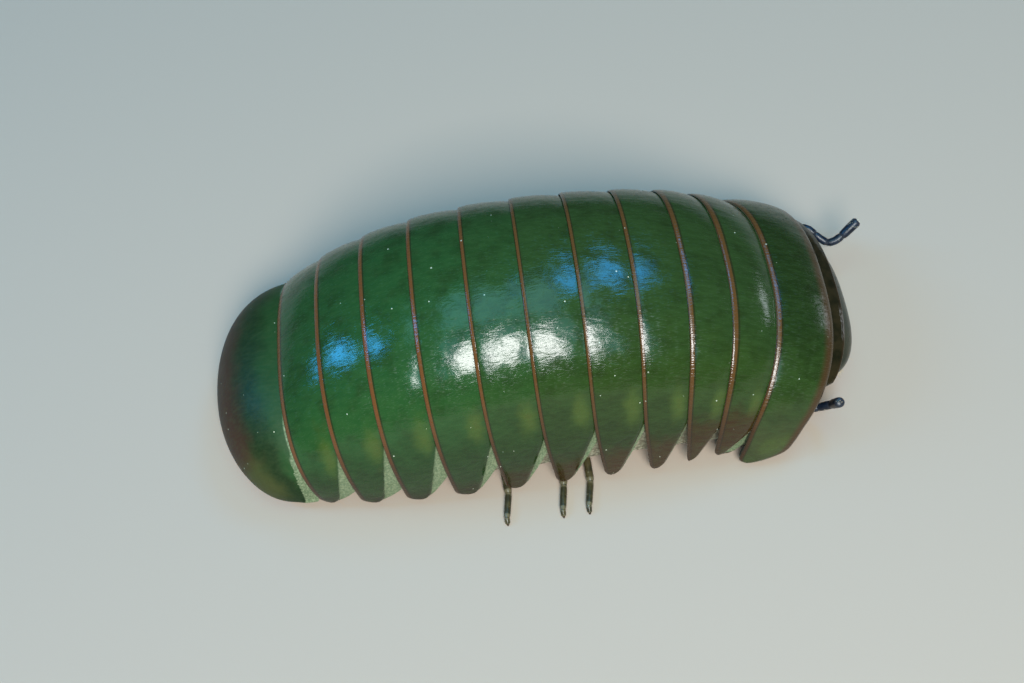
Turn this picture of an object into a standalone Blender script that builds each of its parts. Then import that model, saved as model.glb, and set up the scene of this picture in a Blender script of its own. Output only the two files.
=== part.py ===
"""A giant green pill millipede walking on level ground, at life size.

Lengths are in millimetres until a mesh is made, and metres from there on. The head looks along +X,
the animal's left side is +Y, and the floor is Z = 0. The back is an arch that changes from station
to station along the body: station 1 is the front margin of the big neck shield, station k the rear
rim of back plate k, up to 12, and stations past 12 swing the arch down over the anal shield.
"""
import math

import bmesh
import bpy
from mathutils import Matrix, Vector

MM = 0.001
GAP = 0.3

# Body arch
FRONT_BASE_X = 22.47
SHIELD_PITCH = 5.3
TERGITE_PITCH = (2.7, 2.8, 4.0, 4.9, 5.3, 5.5, 5.6, 5.3, 5.0, 4.5)
LAST_RIM = 12
HALF_WIDTH = 16.1
REAR_NARROWING = 1.7
FULL_HEIGHT = 21.9
FRONT_DROP = 8.1
REAR_DROP = 10.6
CROWN_STATION = 7
ARCH_POWER = 2.5
FRONT_LEAN = math.radians(46)
LEAN_FADE = 0.38
LEAN_POWER = 1.2
REAR_LEAN = math.radians(10)
HEM = 1.4
HEM_CURL = (2.6, 0.4)
HEM_DIP = 0.4

# Back plates
PLATE = 0.55
LIP = 0.4
OVERLAP_STEP = 0.75
TUCK = 0.3
HEM_RISES = (0.0, 0.3, 0.9, 2.0, 3.6, 5.6, 7.8)
ARCH_COLUMNS = 7
RIM_BEVEL = 0.14
TONGUE_CORNER = 1.0
SHORTEST_CUT = 0.35
FRONT_ROUNDING = 0.6

# Plates 3 to 12: how far over the hem the side ends, and the front edge there: mm ahead, slope
TONGUES = (
    (1.1, 1.6, 0.5),
    (0.7, -0.1, 0.3),
    (0.0, 0.9, 0.38),
    (0.0, 1.3, 0.45),
    (0.0, 1.65, 0.53),
    (0.0, 2.0, 0.58),
    (0.0, 2.5, 0.67),
    (0.0, 2.45, 0.8),
    (0.0, 2.4, 1.5),
    (0.0, 2.0, 1.6),
)

# Neck shield: share of its length ahead of the rear rim, depth of its face, wall where it has one
SHIELD_PROFILE = (
    (0.0, RIM_BEVEL, LIP),
    (0.05, 0.0, None),
    (0.35, -0.25, PLATE),
    (0.65, -0.25, PLATE),
    (0.9, -0.05, None),
    (1.0, RIM_BEVEL, LIP),
)
FLAP_GROWTH = (3.4, 0.6)
CROWN_TRIM = 0.35
SHIELD_FLARE = 0.6
FLARE_RISE = 6.0

# Anal shield
ANAL_SWING = math.radians(-84)
ANAL_BACK = 2.6
ANAL_NARROWING = 0.6
ANAL_BULGE = 0.6
ANAL_LOWERING = 3.2
ANAL_POWER = 1.95

# Anal shield: swing, depth of its face, wall
ANAL_PROFILE = (
    (-0.045, OVERLAP_STEP + 0.15, LIP),
    (0.0, OVERLAP_STEP, PLATE),
    (0.12, 0.55, 0.65),
    (0.28, 0.3, 0.7),
    (0.45, 0.1, 0.7),
    (0.62, 0.0, 0.7),
    (0.8, 0.0, 0.7),
    (0.94, 0.05, 0.6),
    (1.0, 0.2, 0.4),
)
ANAL_RISES = (0.0, 0.5, 1.6, 3.2, 5.2)
ANAL_COLUMNS = 6

# Trunk
FLESH_INSET = 1.85
BELLY_ROOF = 5.8
BELLY_RIDGE = 4.6
FLANK_WALL = 1.1
FLANK_RISE = 1.6
RIDGE_FOOT = 3.4
RIDGE_TOP = 2.2
TRUNK_COLUMNS = 14
TRUNK_TAIL = (0.12, 0.25, 0.38, 0.5)

# Legs
LEG_PAIRS = 21
FIRST_LEG_X = FRONT_BASE_X - 2.2
LEG_PITCH = 2.55
HIP_Y = 3.01
HIP_UP = 4.99
LEG_SIDES = 6
LEG_WAVE = 7.0
SIDE_LAG = 0.6
LEG_STRIDE = 1.1
LEG_LIFT = 1.3
TUCKED_REACH = 11.4
STRETCHED_REACH = 20.0
STRETCHED = {
    (-1, 7): (0.2, -0.4),
    (-1, 8): (-0.3, -0.8),
    (-1, 11): (1.0, 0.5),
    (1, 6): (0.2, -0.4),
    (1, 9): (0.6, 0.1),
    (1, 14): (0.9, 0.4),
}
TUCKED_RADII = (0.74, 0.72, 0.66, 0.58, 0.5, 0.4, 0.26)
STRETCHED_RADII = (0.74, 0.72, 0.66, 0.58, 0.48, 0.43, 0.34, 0.26)

# Head, as an ellipsoid that leans forward, and what it carries; lumps are an offset and a size
HEAD_CENTRE = Vector((FRONT_BASE_X + 7.65, 0.0, HEM + 4.1))
HEAD_LEAN = math.radians(37)
HEAD_SIZE = Vector((4.9, 9.5, 4.1))
NECK_STATION = 1.3
HEAD_POWER = 2.6
UPPER_LIP = (Vector((2.2, 0.0, -2.5)), (1.5, 3.2, 1.1))
CHIN_PLATE = (Vector((-2.6, 0.0, -2.6)), (1.2, 4.4, 2.2))
CHEEK = (Vector((-1.2, 6.0, -1.9)), (2.4, 2.2, 2.4))
MOUTH_SLIT = (Vector((0.9, 0.0, -4.0)), (0.18, 2.6, 1.5))
EYE_PLACE = Vector((0.0, 0.84, 0.6))
EYE_SIZE = Vector((1.0, 0.45, 0.85))
ANTENNA_PLACE = Vector((0.05, 0.97, -0.02))
ANTENNA_BOSS = 0.75
BOSS_RISE = 0.35
ANTENNA_RADIUS = 0.47
ANTENNA_JOINTS = (0.13, 0.15, 0.16, 0.16, 0.17, 0.23)
ANTENNA_GIRTH = (1.05, 0.95, 0.95, 0.98, 1.05, 1.25)
ANTENNA_SIDES = 8
MIDDLE_JOINT = ((0.25, 0.98), (0.86, 1.0), (1.0, 0.76))
LAST_JOINT = ((0.25, 1.0), (0.9, 1.0), (1.0, 0.62))
LEFT_ANTENNA = ((1.1, 11.2, 0.2), (2.9, 10.8, 0.4), (5.5, 9.0, -0.7), (8.9, 10.2, 1.2))
RIGHT_ANTENNA = (
    (-0.9, -11.0, -0.6),
    (-2.0, -11.2, -1.3),
    (-2.5, -11.4, -2.2),
    (-2.0, -11.6, -3.0),
    (-1.0, -11.8, -3.2),
    (0.1, -12.1, -2.5),
    (0.8, -12.6, -1.4),
    (1.1, -13.5, 0.4),
)

# Collum
COLLUM_HALF = 12.2
COLLUM_REAR = 1.2
COLLUM_FRONT = 0.44
COLLUM_INSET = 0.9
COLLUM_COLUMNS = 16
COLLUM_TIP = 0.12
COLLUM_PROFILE = ((0, 0.0), (0.5, 0.0), (0.9, 0.05), (1, 0.2), (1, 0.42), (0.5, 0.55), (0, 0.5))


def arch(station):
    """Base x, lean, half width, height and hem curl of the arch at a station of the body."""
    if station > LAST_RIM:
        return anal_arch(station - LAST_RIM)
    front = max(0.0, (CROWN_STATION - station) / (CROWN_STATION - 1))
    rear = max(0.0, (station - CROWN_STATION) / (LAST_RIM - CROWN_STATION))
    lean = FRONT_LEAN * math.exp(-LEAN_FADE * max(station - 1, 0.0) ** LEAN_POWER)
    lean -= REAR_LEAN * math.exp(-0.8 * (LAST_RIM - station))
    half_width = HALF_WIDTH - REAR_NARROWING * rear ** 3
    height = FULL_HEIGHT - FRONT_DROP * front ** 1.74 - REAR_DROP * rear ** 2.3
    share = (station - 1) / (LAST_RIM - 1)
    curl = HEM_CURL[0] + (HEM_CURL[1] - HEM_CURL[0]) * share
    return base_x(station), lean, half_width, height, curl


def base_x(station):
    """Where the foot of the arch stands, by adding up the plates' lengths from the front."""
    if station <= 2:
        return FRONT_BASE_X - SHIELD_PITCH * (station - 1)
    x = FRONT_BASE_X - SHIELD_PITCH
    for number, pitch in enumerate(TERGITE_PITCH, start=3):
        x -= pitch * min(1.0, max(0.0, station - number + 1))
    return x


def anal_arch(swing):
    """The arch of the anal shield, from its front, swing 0, to its rear margin, swing 1."""
    x, lean, half_width, height, curl = arch(LAST_RIM)
    x -= ANAL_BACK * swing
    lean += (ANAL_SWING - lean) * swing
    half_width -= ANAL_NARROWING * swing ** 2
    height += ANAL_BULGE * math.sin(math.pi * swing) - ANAL_LOWERING * swing ** 1.5
    return x, lean, half_width, height, curl * (1 - swing)


def arch_power(station):
    """The superellipse power of the arch: squarish over the body, round at the anal margin."""
    swing = min(1.0, max(0.0, station - LAST_RIM))
    return ARCH_POWER + (ANAL_POWER - ARCH_POWER) * swing


def arch_point(station, angle, inset=0.0):
    """A point on the back, from the right hem at angle 0 over the crown to the left one at pi."""
    x, lean, half_width, height, curl = arch(station)
    power = 2 / arch_power(station)
    across = math.cos(angle)
    y = -math.copysign(abs(across) ** power, across) * (half_width - inset)
    rise = max(math.sin(angle), 0.0) ** power
    up = rise * (height - inset)
    forward = curl * (1 - max(math.sin(angle), 0.0)) ** 3
    return Vector((
        x + up * math.sin(lean) + forward * math.cos(lean),
        y,
        HEM + up * math.cos(lean) - HEM_DIP * forward * math.sin(lean),
    ))


def angle_at_rise(station, rise):
    """The arch angle on the right side whose point is this high over the hem."""
    height = arch(station)[3]
    return math.asin(min(1.0, (rise / height) ** (ARCH_POWER / 2)))


def column_angles(station, rises=HEM_RISES, columns=ARCH_COLUMNS):
    """Angles from hem to hem, set close together at the two hems where the plates are tongues."""
    low = [angle_at_rise(station, rise) for rise in rises]
    step = (math.pi / 2 - low[-1]) / columns
    half = low + [low[-1] + step * i for i in range(1, columns + 1)]
    return half + [math.pi - angle for angle in reversed(half[:-1])]


def finish(name, mesh_tool, material):
    """Make a named object of a closed bmesh in millimetres, with its normals turned outwards."""
    bmesh.ops.recalc_face_normals(mesh_tool, faces=mesh_tool.faces)
    bmesh.ops.scale(mesh_tool, vec=(MM, MM, MM), verts=mesh_tool.verts)
    mesh = bpy.data.meshes.new(name)
    mesh_tool.to_mesh(mesh)
    mesh_tool.free()
    mesh.shade_smooth()
    mesh.set_sharp_from_angle(angle=math.radians(40))
    mesh.materials.append(material)
    made = bpy.data.objects.new(name, mesh)
    bpy.context.scene.collection.objects.link(made)
    return made


def loft(loops, caps=True):
    """Skin closed loops of equal length one after another, with a face over each end."""
    tool = bmesh.new()
    rows = [[tool.verts.new(point) for point in loop] for loop in loops]
    count = len(loops[0])
    for row, following in zip(rows, rows[1:]):
        for i in range(count):
            j = (i + 1) % count
            tool.faces.new((row[i], row[j], following[j], following[i]))
    if caps:
        tool.faces.new(rows[0])
        tool.faces.new(rows[-1])
    return tool


def surface_material(name, colour, roughness, metallic=0.0):
    material = bpy.data.materials.new(name)
    material.use_nodes = True
    shader = material.node_tree.nodes["Principled BSDF"]
    shader.inputs["Base Color"].default_value = (*colour, 1.0)
    shader.inputs["Roughness"].default_value = roughness
    shader.inputs["Metallic"].default_value = metallic
    material.diffuse_color = (*colour, 1.0)
    return material


def rise_at_angle(station, angle):
    """How high over the hem the arch is at an angle."""
    return arch(station)[3] * max(math.sin(angle), 0.0) ** (2 / ARCH_POWER)


def rear_corner(rise):
    """How far the rounded rear corner of a plate's side stands ahead of its rear rim."""
    if rise >= TONGUE_CORNER:
        return 0.0
    return TONGUE_CORNER * (1 - math.sqrt(1 - (1 - max(rise, 0.0) / TONGUE_CORNER) ** 2))


def tongue(plate, rise, pitch):
    """Rear and front edge of a plate at a height over its hem, in mm forward of its rear rim.

    The front plates end in narrow slanting tongues, and the rear ones in broad ones.
    """
    foot, reach, slope = TONGUES[plate - 3]
    corner = rear_corner(rise - foot)
    rear = corner * min(0.9, max(0.2, 0.5 * reach - 0.2))
    front = min(reach + slope * rise - FRONT_ROUNDING * corner, pitch * (1 + TUCK))
    return rear, max(front, rear + SHORTEST_CUT)


def crown_depth(share):
    """How far a plate's face lies under the arch at a share of its length ahead of its rim."""
    if share < 1:
        return OVERLAP_STEP * share ** 3
    return OVERLAP_STEP + 0.5 * (share - 1)


def plate_section(plate, angle, rise, pitch):
    """The closed outline of a tergite cut along the body at one angle of the arch."""
    rear, front = tongue(plate, rise, pitch)
    length = front - rear
    spots = (rear + min(0.25, 0.4 * length), rear + 0.42 * length, rear + 0.76 * length, front)
    outer = [arch_point(plate - rear / pitch, angle, RIM_BEVEL)]
    for spot in spots:
        outer.append(arch_point(plate - spot / pitch, angle, crown_depth(spot / pitch)))
    inner = [arch_point(plate - rear / pitch, angle, LIP)]
    for spot, wall in zip(spots[1:], (PLATE, PLATE, LIP)):
        inner.append(arch_point(plate - spot / pitch, angle, crown_depth(spot / pitch) + wall))
    return outer + inner[::-1]


def make_tergite(plate, material):
    """One of the ten middle back plates, a band that arches from hem to hem."""
    pitch = TERGITE_PITCH[plate - 3]
    foot = TONGUES[plate - 3][0]
    rises = [foot + rise * (1 - foot / HEM_RISES[-1]) for rise in HEM_RISES]
    loops = []
    for angle in column_angles(plate, rises):
        loops.append(plate_section(plate, angle, rise_at_angle(plate, angle), pitch))
    return finish(f"tergite_{plate:02d}", loft(loops), material)


def make_thoracic_shield(material):
    """The neck shield, the longest plate, whose sides end in broad flaps instead of tongues."""
    loops = []
    for angle in column_angles(2):
        rise = rise_at_angle(2, angle)
        rear = rear_corner(rise)
        longest = SHIELD_PITCH - CROWN_TRIM * math.sin(angle) ** 4
        front = min(longest, TONGUE_CORNER + FLAP_GROWTH[0] * rise ** FLAP_GROWTH[1])
        front = max(front, rear + SHORTEST_CUT)
        flare = SHIELD_FLARE * max(0.0, 1 - rise / FLARE_RISE)
        outer = []
        inner = []
        for share, depth, wall in SHIELD_PROFILE:
            station = 2 - (rear + share * (front - rear)) / SHIELD_PITCH
            outer.append(arch_point(station, angle, depth - flare))
            if wall:
                inner.append(arch_point(station, angle, depth - flare + wall))
        loops.append(outer + inner[::-1])
    return finish("thoracic_shield", loft(loops), material)


def make_anal_shield(material):
    """The domed last plate, thick-walled, tucked under plate 12 and open below."""
    loops = []
    for angle in column_angles(LAST_RIM + 0.4, ANAL_RISES, ANAL_COLUMNS):
        outer = []
        inner = []
        for swing, depth, wall in ANAL_PROFILE:
            outer.append(arch_point(LAST_RIM + swing, angle, depth))
            inner.append(arch_point(LAST_RIM + swing, angle, depth + wall))
        loops.append(outer + inner[::-1])
    return finish("anal_shield", loft(loops), material)


def trunk_section(station):
    """The flesh cut across the body: the arch under the plates, two flanks and a hollow belly."""
    x, lean, half_width, height = arch(station)[:4]
    power = 2 / arch_power(station)
    start = angle_at_rise(station, FLANK_RISE)
    flank = half_width - FLESH_INSET
    outline = []
    for i in range(TRUNK_COLUMNS + 1):
        angle = start + (math.pi - 2 * start) * i / TRUNK_COLUMNS
        across = math.cos(angle)
        y = -math.copysign(abs(across) ** power, across) * flank
        outline.append((y, math.sin(angle) ** power * (height - FLESH_INSET)))
    below = (
        (flank - 0.5, FLANK_RISE - 0.7),
        (flank - FLANK_WALL, FLANK_RISE - 0.3),
        (flank - FLANK_WALL - 0.9, BELLY_ROOF - 1.0),
        (flank - FLANK_WALL - 2.4, BELLY_ROOF),
        (RIDGE_FOOT, BELLY_ROOF),
        (RIDGE_TOP, BELLY_RIDGE),
    )
    outline += list(below) + [(-y, up) for y, up in reversed(below)]
    return [Vector((x + up * math.sin(lean), y, HEM + up * math.cos(lean))) for y, up in outline]


def make_trunk(material):
    """One body of flesh under the back plates, from the neck to inside the anal shield."""
    stations = [NECK_STATION] + list(range(2, LAST_RIM + 1))
    stations += [LAST_RIM + swing for swing in TRUNK_TAIL]
    return finish("trunk", loft([trunk_section(station) for station in stations]), material)


def leg_station(x):
    """The body station whose belly ridge lies at this x."""
    low, high = NECK_STATION, LAST_RIM + 0.4
    for _ in range(40):
        middle = (low + high) / 2
        base, lean = arch(middle)[:2]
        if base + HIP_UP * math.sin(lean) > x:
            low = middle
        else:
            high = middle
    return low


def leg_line(pair, side):
    """Centre points and radii of one leg from its hip to its foot."""
    x = FIRST_LEG_X - LEG_PITCH * pair
    lean = arch(leg_station(x))[1]
    hip_z = HEM + HIP_UP * math.cos(lean)
    size = 1 - 0.12 * max(0, 3 - pair) - 0.07 * max(0, pair - 17)
    if (side, pair) in STRETCHED:
        crossing, landing = STRETCHED[side, pair]
        radii = STRETCHED_RADII
        bends = (
            (0.2 * crossing, 6.6, 4.4),
            (0.5 * crossing, 10.2, 3.2),
            (0.8 * crossing, 13.2, 1.15),
            (crossing, 16.2, 0.62),
            (landing, STRETCHED_REACH - 0.8, 0.55),
            (landing, STRETCHED_REACH, 0.0),
        )
    else:
        wave = 2 * math.pi * pair / LEG_WAVE + (0.0 if side > 0 else SIDE_LAG)
        ahead = LEG_STRIDE * math.sin(wave)
        lift = LEG_LIFT * max(0.0, math.cos(wave) - 0.55)
        reach = TUCKED_REACH * (0.5 + 0.5 * size)
        radii = TUCKED_RADII
        bends = (
            (0.2 * ahead, 6.2, hip_z - 1.0),
            (0.6 * ahead, reach - 2.0, 4.9 + 0.3 * lift),
            (0.85 * ahead, reach - 0.5, 3.2 + 0.5 * lift),
            (ahead, reach - 0.1, 1.3 + lift),
            (ahead, reach, lift),
        )
    line = ((0.0, HIP_Y, hip_z), (0.0, HIP_Y + 0.8, hip_z - 0.9)) + bends
    return [(Vector((x + along, side * y, z)), radius * size)
            for (along, y, z), radius in zip(line, radii)]


def tube(line, sides, first_normal=None, last_normal=None):
    """Loops round a line of centres and radii, each square to the line but for the two ends.

    The way from a centre to its first point is carried along the line, so that no loop is twisted.
    """
    loops = []
    aside = Vector((1.0, 0.0, 0.0))
    for i, (centre, radius) in enumerate(line):
        before = line[max(i - 1, 0)][0]
        after = line[min(i + 1, len(line) - 1)][0]
        direction = (after - before).normalized()
        if i == 0 and first_normal:
            direction = Vector(first_normal).normalized()
        if i == len(line) - 1 and last_normal:
            direction = Vector(last_normal).normalized()
        aside = (aside - direction * aside.dot(direction)).normalized()
        upward = direction.cross(aside)
        loops.append([
            centre + radius * (math.cos(turn) * aside + math.sin(turn) * upward)
            for turn in (2 * math.pi * (j + 0.5) / sides for j in range(sides))
        ])
    return loops


def leg_mesh(pair, side):
    """One closed leg whose hip faces the slope of the belly ridge, flat under its foot."""
    hip_face = (0.0, side, -1.0)
    return loft(tube(leg_line(pair, side), LEG_SIDES, hip_face, (0.0, 0.0, -1.0)))


def make_first_legs(material):
    """The small first pair, joined across the middle at the hips."""
    both = [leg_mesh(0, 1), leg_mesh(0, -1)]
    low_hip = leg_line(0, 1)[1][0]
    bar_end = Vector((low_hip.x, low_hip.y, low_hip.z - 0.15))
    bar = rod(Vector((bar_end.x, -bar_end.y, bar_end.z)), bar_end, 0.36, 8)
    for tool in both:
        bmesh.ops.recalc_face_normals(tool, faces=tool.faces)
    return finish("leg_01_pair", combine(bar, both, "UNION"), material)


def make_legs(material):
    make_first_legs(material)
    for pair in range(1, LEG_PAIRS):
        for side, word in ((1, "left"), (-1, "right")):
            finish(f"leg_{pair + 1:02d}_{word}", leg_mesh(pair, side), material)


def head_axes():
    """Unit vectors of the head: the way it faces, its left, and up over its crown."""
    facing = Vector((math.cos(HEAD_LEAN), 0.0, -math.sin(HEAD_LEAN)))
    crown = Vector((math.sin(HEAD_LEAN), 0.0, math.cos(HEAD_LEAN)))
    return facing, Vector((0.0, 1.0, 0.0)), crown


def on_head(place, side):
    """A point of the head's surface and the way out there, for a place of unit length."""
    axes = head_axes()
    place = plump(Vector((place.x, side * place.y, place.z)))
    point = HEAD_CENTRE.copy()
    outward = Vector((0.0, 0.0, 0.0))
    for axis, share, size in zip(axes, place, HEAD_SIZE):
        point += axis * share * size
        outward += axis * math.copysign(abs(share) ** (HEAD_POWER - 1), share) / size
    return point, outward.normalized()


def plump(direction):
    """Where a direction meets a ball whose corners are filled out by the head's power."""
    total = sum(abs(share) ** HEAD_POWER for share in direction)
    return direction / total ** (1 / HEAD_POWER)


def ellipsoid(centre, axes, sizes, rounds=16, rows=10, reshape=None):
    """A closed ellipsoid on three axes, with its poles on the first axis."""
    tool = bmesh.new()
    bmesh.ops.create_uvsphere(tool, u_segments=rounds, v_segments=rows, radius=1.0)
    for vert in tool.verts:
        across, along, pole = vert.co
        shares = Vector((pole, across, along))
        if reshape:
            shares = reshape(shares)
        vert.co = centre
        for axis, share, size in zip(axes, shares, sizes):
            vert.co += axis * share * size
    bmesh.ops.recalc_face_normals(tool, faces=tool.faces)
    return tool


def rod(start, end, radius, sides=12):
    """A closed straight rod between two points."""
    direction = (end - start).normalized()
    tool = bmesh.new()
    bmesh.ops.create_cone(tool, cap_ends=True, segments=sides, radius1=radius, radius2=radius,
                          depth=(end - start).length)
    turn = direction.to_track_quat("Z", "Y").to_matrix().to_4x4()
    bmesh.ops.transform(tool, matrix=Matrix.Translation((start + end) / 2) @ turn, verts=tool.verts)
    return tool


def slab(centre, axes, sizes):
    """A closed box on three axes."""
    tool = bmesh.new()
    bmesh.ops.create_cube(tool, size=2.0)
    first, second, third = axes
    for vert in tool.verts:
        vert.co = centre + first * vert.co.x * sizes[0] + second * vert.co.y * sizes[1] \
            + third * vert.co.z * sizes[2]
    bmesh.ops.recalc_face_normals(tool, faces=tool.faces)
    return tool


def scratch_object(tool):
    mesh = bpy.data.meshes.new("scratch")
    tool.to_mesh(mesh)
    tool.free()
    return bpy.data.objects.new("scratch", mesh)


def combine(base, parts, operation):
    """A bmesh of one closed solid joined with, or cut by, a collection of others."""
    group = bpy.data.collections.new("scratch")
    bpy.context.scene.collection.children.link(group)
    body = scratch_object(base)
    bpy.context.scene.collection.objects.link(body)
    others = [scratch_object(part) for part in parts]
    for other in others:
        group.objects.link(other)
    modifier = body.modifiers.new("join", "BOOLEAN")
    modifier.operation = operation
    modifier.operand_type = "COLLECTION"
    modifier.collection = group
    modifier.solver = "EXACT"
    shaped = body.evaluated_get(bpy.context.evaluated_depsgraph_get())
    result = bmesh.new()
    result.from_mesh(shaped.to_mesh())
    for item in others + [body]:
        bpy.data.objects.remove(item, do_unlink=True)
    bpy.data.collections.remove(group)
    bmesh.ops.triangulate(result, faces=result.faces)
    return result


def antenna_root(side):
    """Where an antenna starts: a gap's width outside the flat end of its boss."""
    point, outward = on_head(ANTENNA_PLACE, side)
    return point + outward * (BOSS_RISE + GAP), outward


def make_head(material):
    """The head capsule with its cheeks, upper lip, chin plate, mouth slit and sockets."""
    facing, left, crown = head_axes()
    axes = (facing, left, crown)
    capsule = ellipsoid(HEAD_CENTRE, axes, HEAD_SIZE, 22, 14, plump)
    additions = [
        ellipsoid(HEAD_CENTRE + UPPER_LIP[0], axes, UPPER_LIP[1], 14, 8),
        ellipsoid(HEAD_CENTRE + CHIN_PLATE[0], axes, CHIN_PLATE[1], 14, 8),
    ]
    for side in (1, -1):
        cheek = HEAD_CENTRE + CHEEK[0] * Vector((1, side, 1))
        additions.append(ellipsoid(cheek, axes, CHEEK[1], 12, 8))
        point, outward = on_head(ANTENNA_PLACE, side)
        additions.append(rod(point - outward * 0.9, point + outward * BOSS_RISE, ANTENNA_BOSS))
    head = combine(capsule, additions, "UNION")
    base, lean = arch(NECK_STATION)[:2]
    neck_up = Vector((math.sin(lean), 0.0, math.cos(lean)))
    neck_out = Vector((math.cos(lean), 0.0, -math.sin(lean)))
    neck = Vector((base, 0.0, HEM)) + neck_up * 6.0 + neck_out * (GAP - 6.0)
    cuts = [
        slab(neck, (neck_out, left, neck_up), (6.0, 20.0, 20.0)),
        slab(HEAD_CENTRE + MOUTH_SLIT[0], axes, MOUTH_SLIT[1]),
    ]
    for side in (1, -1):
        point, outward = on_head(EYE_PLACE, side)
        grown = EYE_SIZE + Vector((GAP, GAP, GAP))
        cuts.append(ellipsoid(point, eye_axes(outward), grown, 14, 8))
    return finish("head", combine(head, cuts, "DIFFERENCE"), material)


def eye_axes(outward):
    along = Vector((0.0, 0.0, 1.0)) - outward * outward.z
    along.normalize()
    return along, outward, along.cross(outward)


def make_eyes(material):
    """Each eye is a dome of many small lenses in a socket of the head."""
    for side, word in ((1, "left"), (-1, "right")):
        point, outward = on_head(EYE_PLACE, side)
        finish(f"eye_{word}", ellipsoid(point, eye_axes(outward), EYE_SIZE, 12, 8), material)


def route_points(knots, shares):
    """Points at given shares of the length of a smooth curve through the knots."""
    padded = [2 * knots[0] - knots[1]] + knots + [2 * knots[-1] - knots[-2]]
    fine = []
    for a, b, c, d in zip(padded, padded[1:], padded[2:], padded[3:]):
        for i in range(20):
            t = i / 20
            fine.append(0.5 * (2 * b + (c - a) * t + (2 * a - 5 * b + 4 * c - d) * t * t
                               + (3 * b - a - 3 * c + d) * t ** 3))
    fine.append(knots[-1])
    lengths = [0.0]
    for a, b in zip(fine, fine[1:]):
        lengths.append(lengths[-1] + (b - a).length)
    points = []
    for share in shares:
        target = share * lengths[-1]
        index = max(i for i, length in enumerate(lengths) if length <= target + 1e-9)
        index = min(index, len(fine) - 2)
        run = lengths[index + 1] - lengths[index]
        points.append(fine[index].lerp(fine[index + 1], (target - lengths[index]) / run))
    return points


def make_antennae(material):
    """Two antennae of six joints, thickest at the last, each narrow at its neck."""
    shares = [0.0]
    girths = [0.8 * ANTENNA_GIRTH[0]]
    start = 0.0
    for joint, (length, girth) in enumerate(zip(ANTENNA_JOINTS, ANTENNA_GIRTH)):
        last = joint == len(ANTENNA_JOINTS) - 1
        for share, width in LAST_JOINT if last else MIDDLE_JOINT:
            shares.append(start + share * length)
            girths.append(width * girth)
        start += length
    for side, word, offsets in ((1, "left", LEFT_ANTENNA), (-1, "right", RIGHT_ANTENNA)):
        root, outward = antenna_root(side)
        knots = [root] + [HEAD_CENTRE + Vector(offset) for offset in offsets]
        points = route_points(knots, shares)
        line = [(point, ANTENNA_RADIUS * girth) for point, girth in zip(points, girths)]
        finish(f"antenna_{word}", loft(tube(line, ANTENNA_SIDES, outward)), material)


def collum_point(station, y, inset):
    """The point of the arch that lies this far to the left of the middle."""
    width = arch(station)[2] - inset
    angle = math.acos(-math.copysign((abs(y) / width) ** (ARCH_POWER / 2), y))
    return arch_point(station, angle, inset)


def make_collum(material):
    """The narrow plate between the head and the neck shield, pointed at its two sides."""
    middle = 0.5 * (COLLUM_REAR + COLLUM_FRONT) + 0.1
    loops = []
    for i in range(COLLUM_COLUMNS + 1):
        share = 2 * i / COLLUM_COLUMNS - 1
        fullness = max(COLLUM_TIP, (1 - share ** 2) ** 0.35)
        rear = middle + (COLLUM_REAR - middle) * fullness
        front = middle + (COLLUM_FRONT - middle) * fullness
        loops.append([collum_point(rear + (front - rear) * ahead, COLLUM_HALF * share, COLLUM_INSET + depth)
                      for ahead, depth in COLLUM_PROFILE])
    return finish("collum", loft(loops), material)


def build():
    for item in list(bpy.data.objects):
        bpy.data.objects.remove(item, do_unlink=True)
    shell = surface_material("green_shell", (0.02, 0.085, 0.03), 0.25)
    flesh = surface_material("belly_skin", (0.35, 0.38, 0.3), 0.6)
    horn = surface_material("dark_limb", (0.03, 0.035, 0.04), 0.35)
    face = surface_material("head_shell", (0.03, 0.04, 0.025), 0.3)
    lens = surface_material("eye_lens", (0.005, 0.005, 0.006), 0.1)
    make_head(face)
    make_eyes(lens)
    make_antennae(horn)
    make_collum(shell)
    make_thoracic_shield(shell)
    for plate in range(3, LAST_RIM + 1):
        make_tergite(plate, shell)
    make_anal_shield(shell)
    make_trunk(flesh)
    make_legs(horn)


build()
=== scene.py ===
# %% [markdown]
# # A giant green pill millipede
# This animal carries twelve shiny back plates, a domed rear shield and a small head, and it can roll
# into a ball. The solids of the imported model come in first. They stay where they are, and each gets a
# finer skin over it. A finer copy of the solids would keep their flat facets, so the skins are made
# anew from the same formulas instead.
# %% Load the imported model
import math
import random

import bpy
from mathutils import Matrix, Quaternion, Vector


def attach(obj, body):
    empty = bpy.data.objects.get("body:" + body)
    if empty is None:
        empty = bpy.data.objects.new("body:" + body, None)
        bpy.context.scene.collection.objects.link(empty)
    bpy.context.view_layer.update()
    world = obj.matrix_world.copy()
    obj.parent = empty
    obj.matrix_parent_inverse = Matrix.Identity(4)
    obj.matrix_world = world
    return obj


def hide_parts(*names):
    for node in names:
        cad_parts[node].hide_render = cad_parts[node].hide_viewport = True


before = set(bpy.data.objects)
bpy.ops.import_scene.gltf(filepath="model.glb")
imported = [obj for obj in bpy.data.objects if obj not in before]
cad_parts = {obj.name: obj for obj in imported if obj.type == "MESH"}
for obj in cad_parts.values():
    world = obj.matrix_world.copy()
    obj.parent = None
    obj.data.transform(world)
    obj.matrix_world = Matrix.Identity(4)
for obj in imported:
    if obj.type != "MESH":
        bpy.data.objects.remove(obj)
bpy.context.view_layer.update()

# %% [markdown]
# ## The camera
# The photo looks down on the animal from its right side, a bit turned. A camera matrix made from its
# three axes gives that turn exactly. A Track To constraint would be quicker, but it can't roll.
# %% Camera
MM = 0.001
FRONT_BASE_X = 22.47
AZIMUTH, ELEVATION, ROLL = (math.radians(angle) for angle in (2.0, 56.7, -9.9))
DISTANCE = 165.0
LOOK_AT = Vector((FRONT_BASE_X - 26.6, 4.3, 0.4))
PIXEL_MM = 0.122
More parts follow.
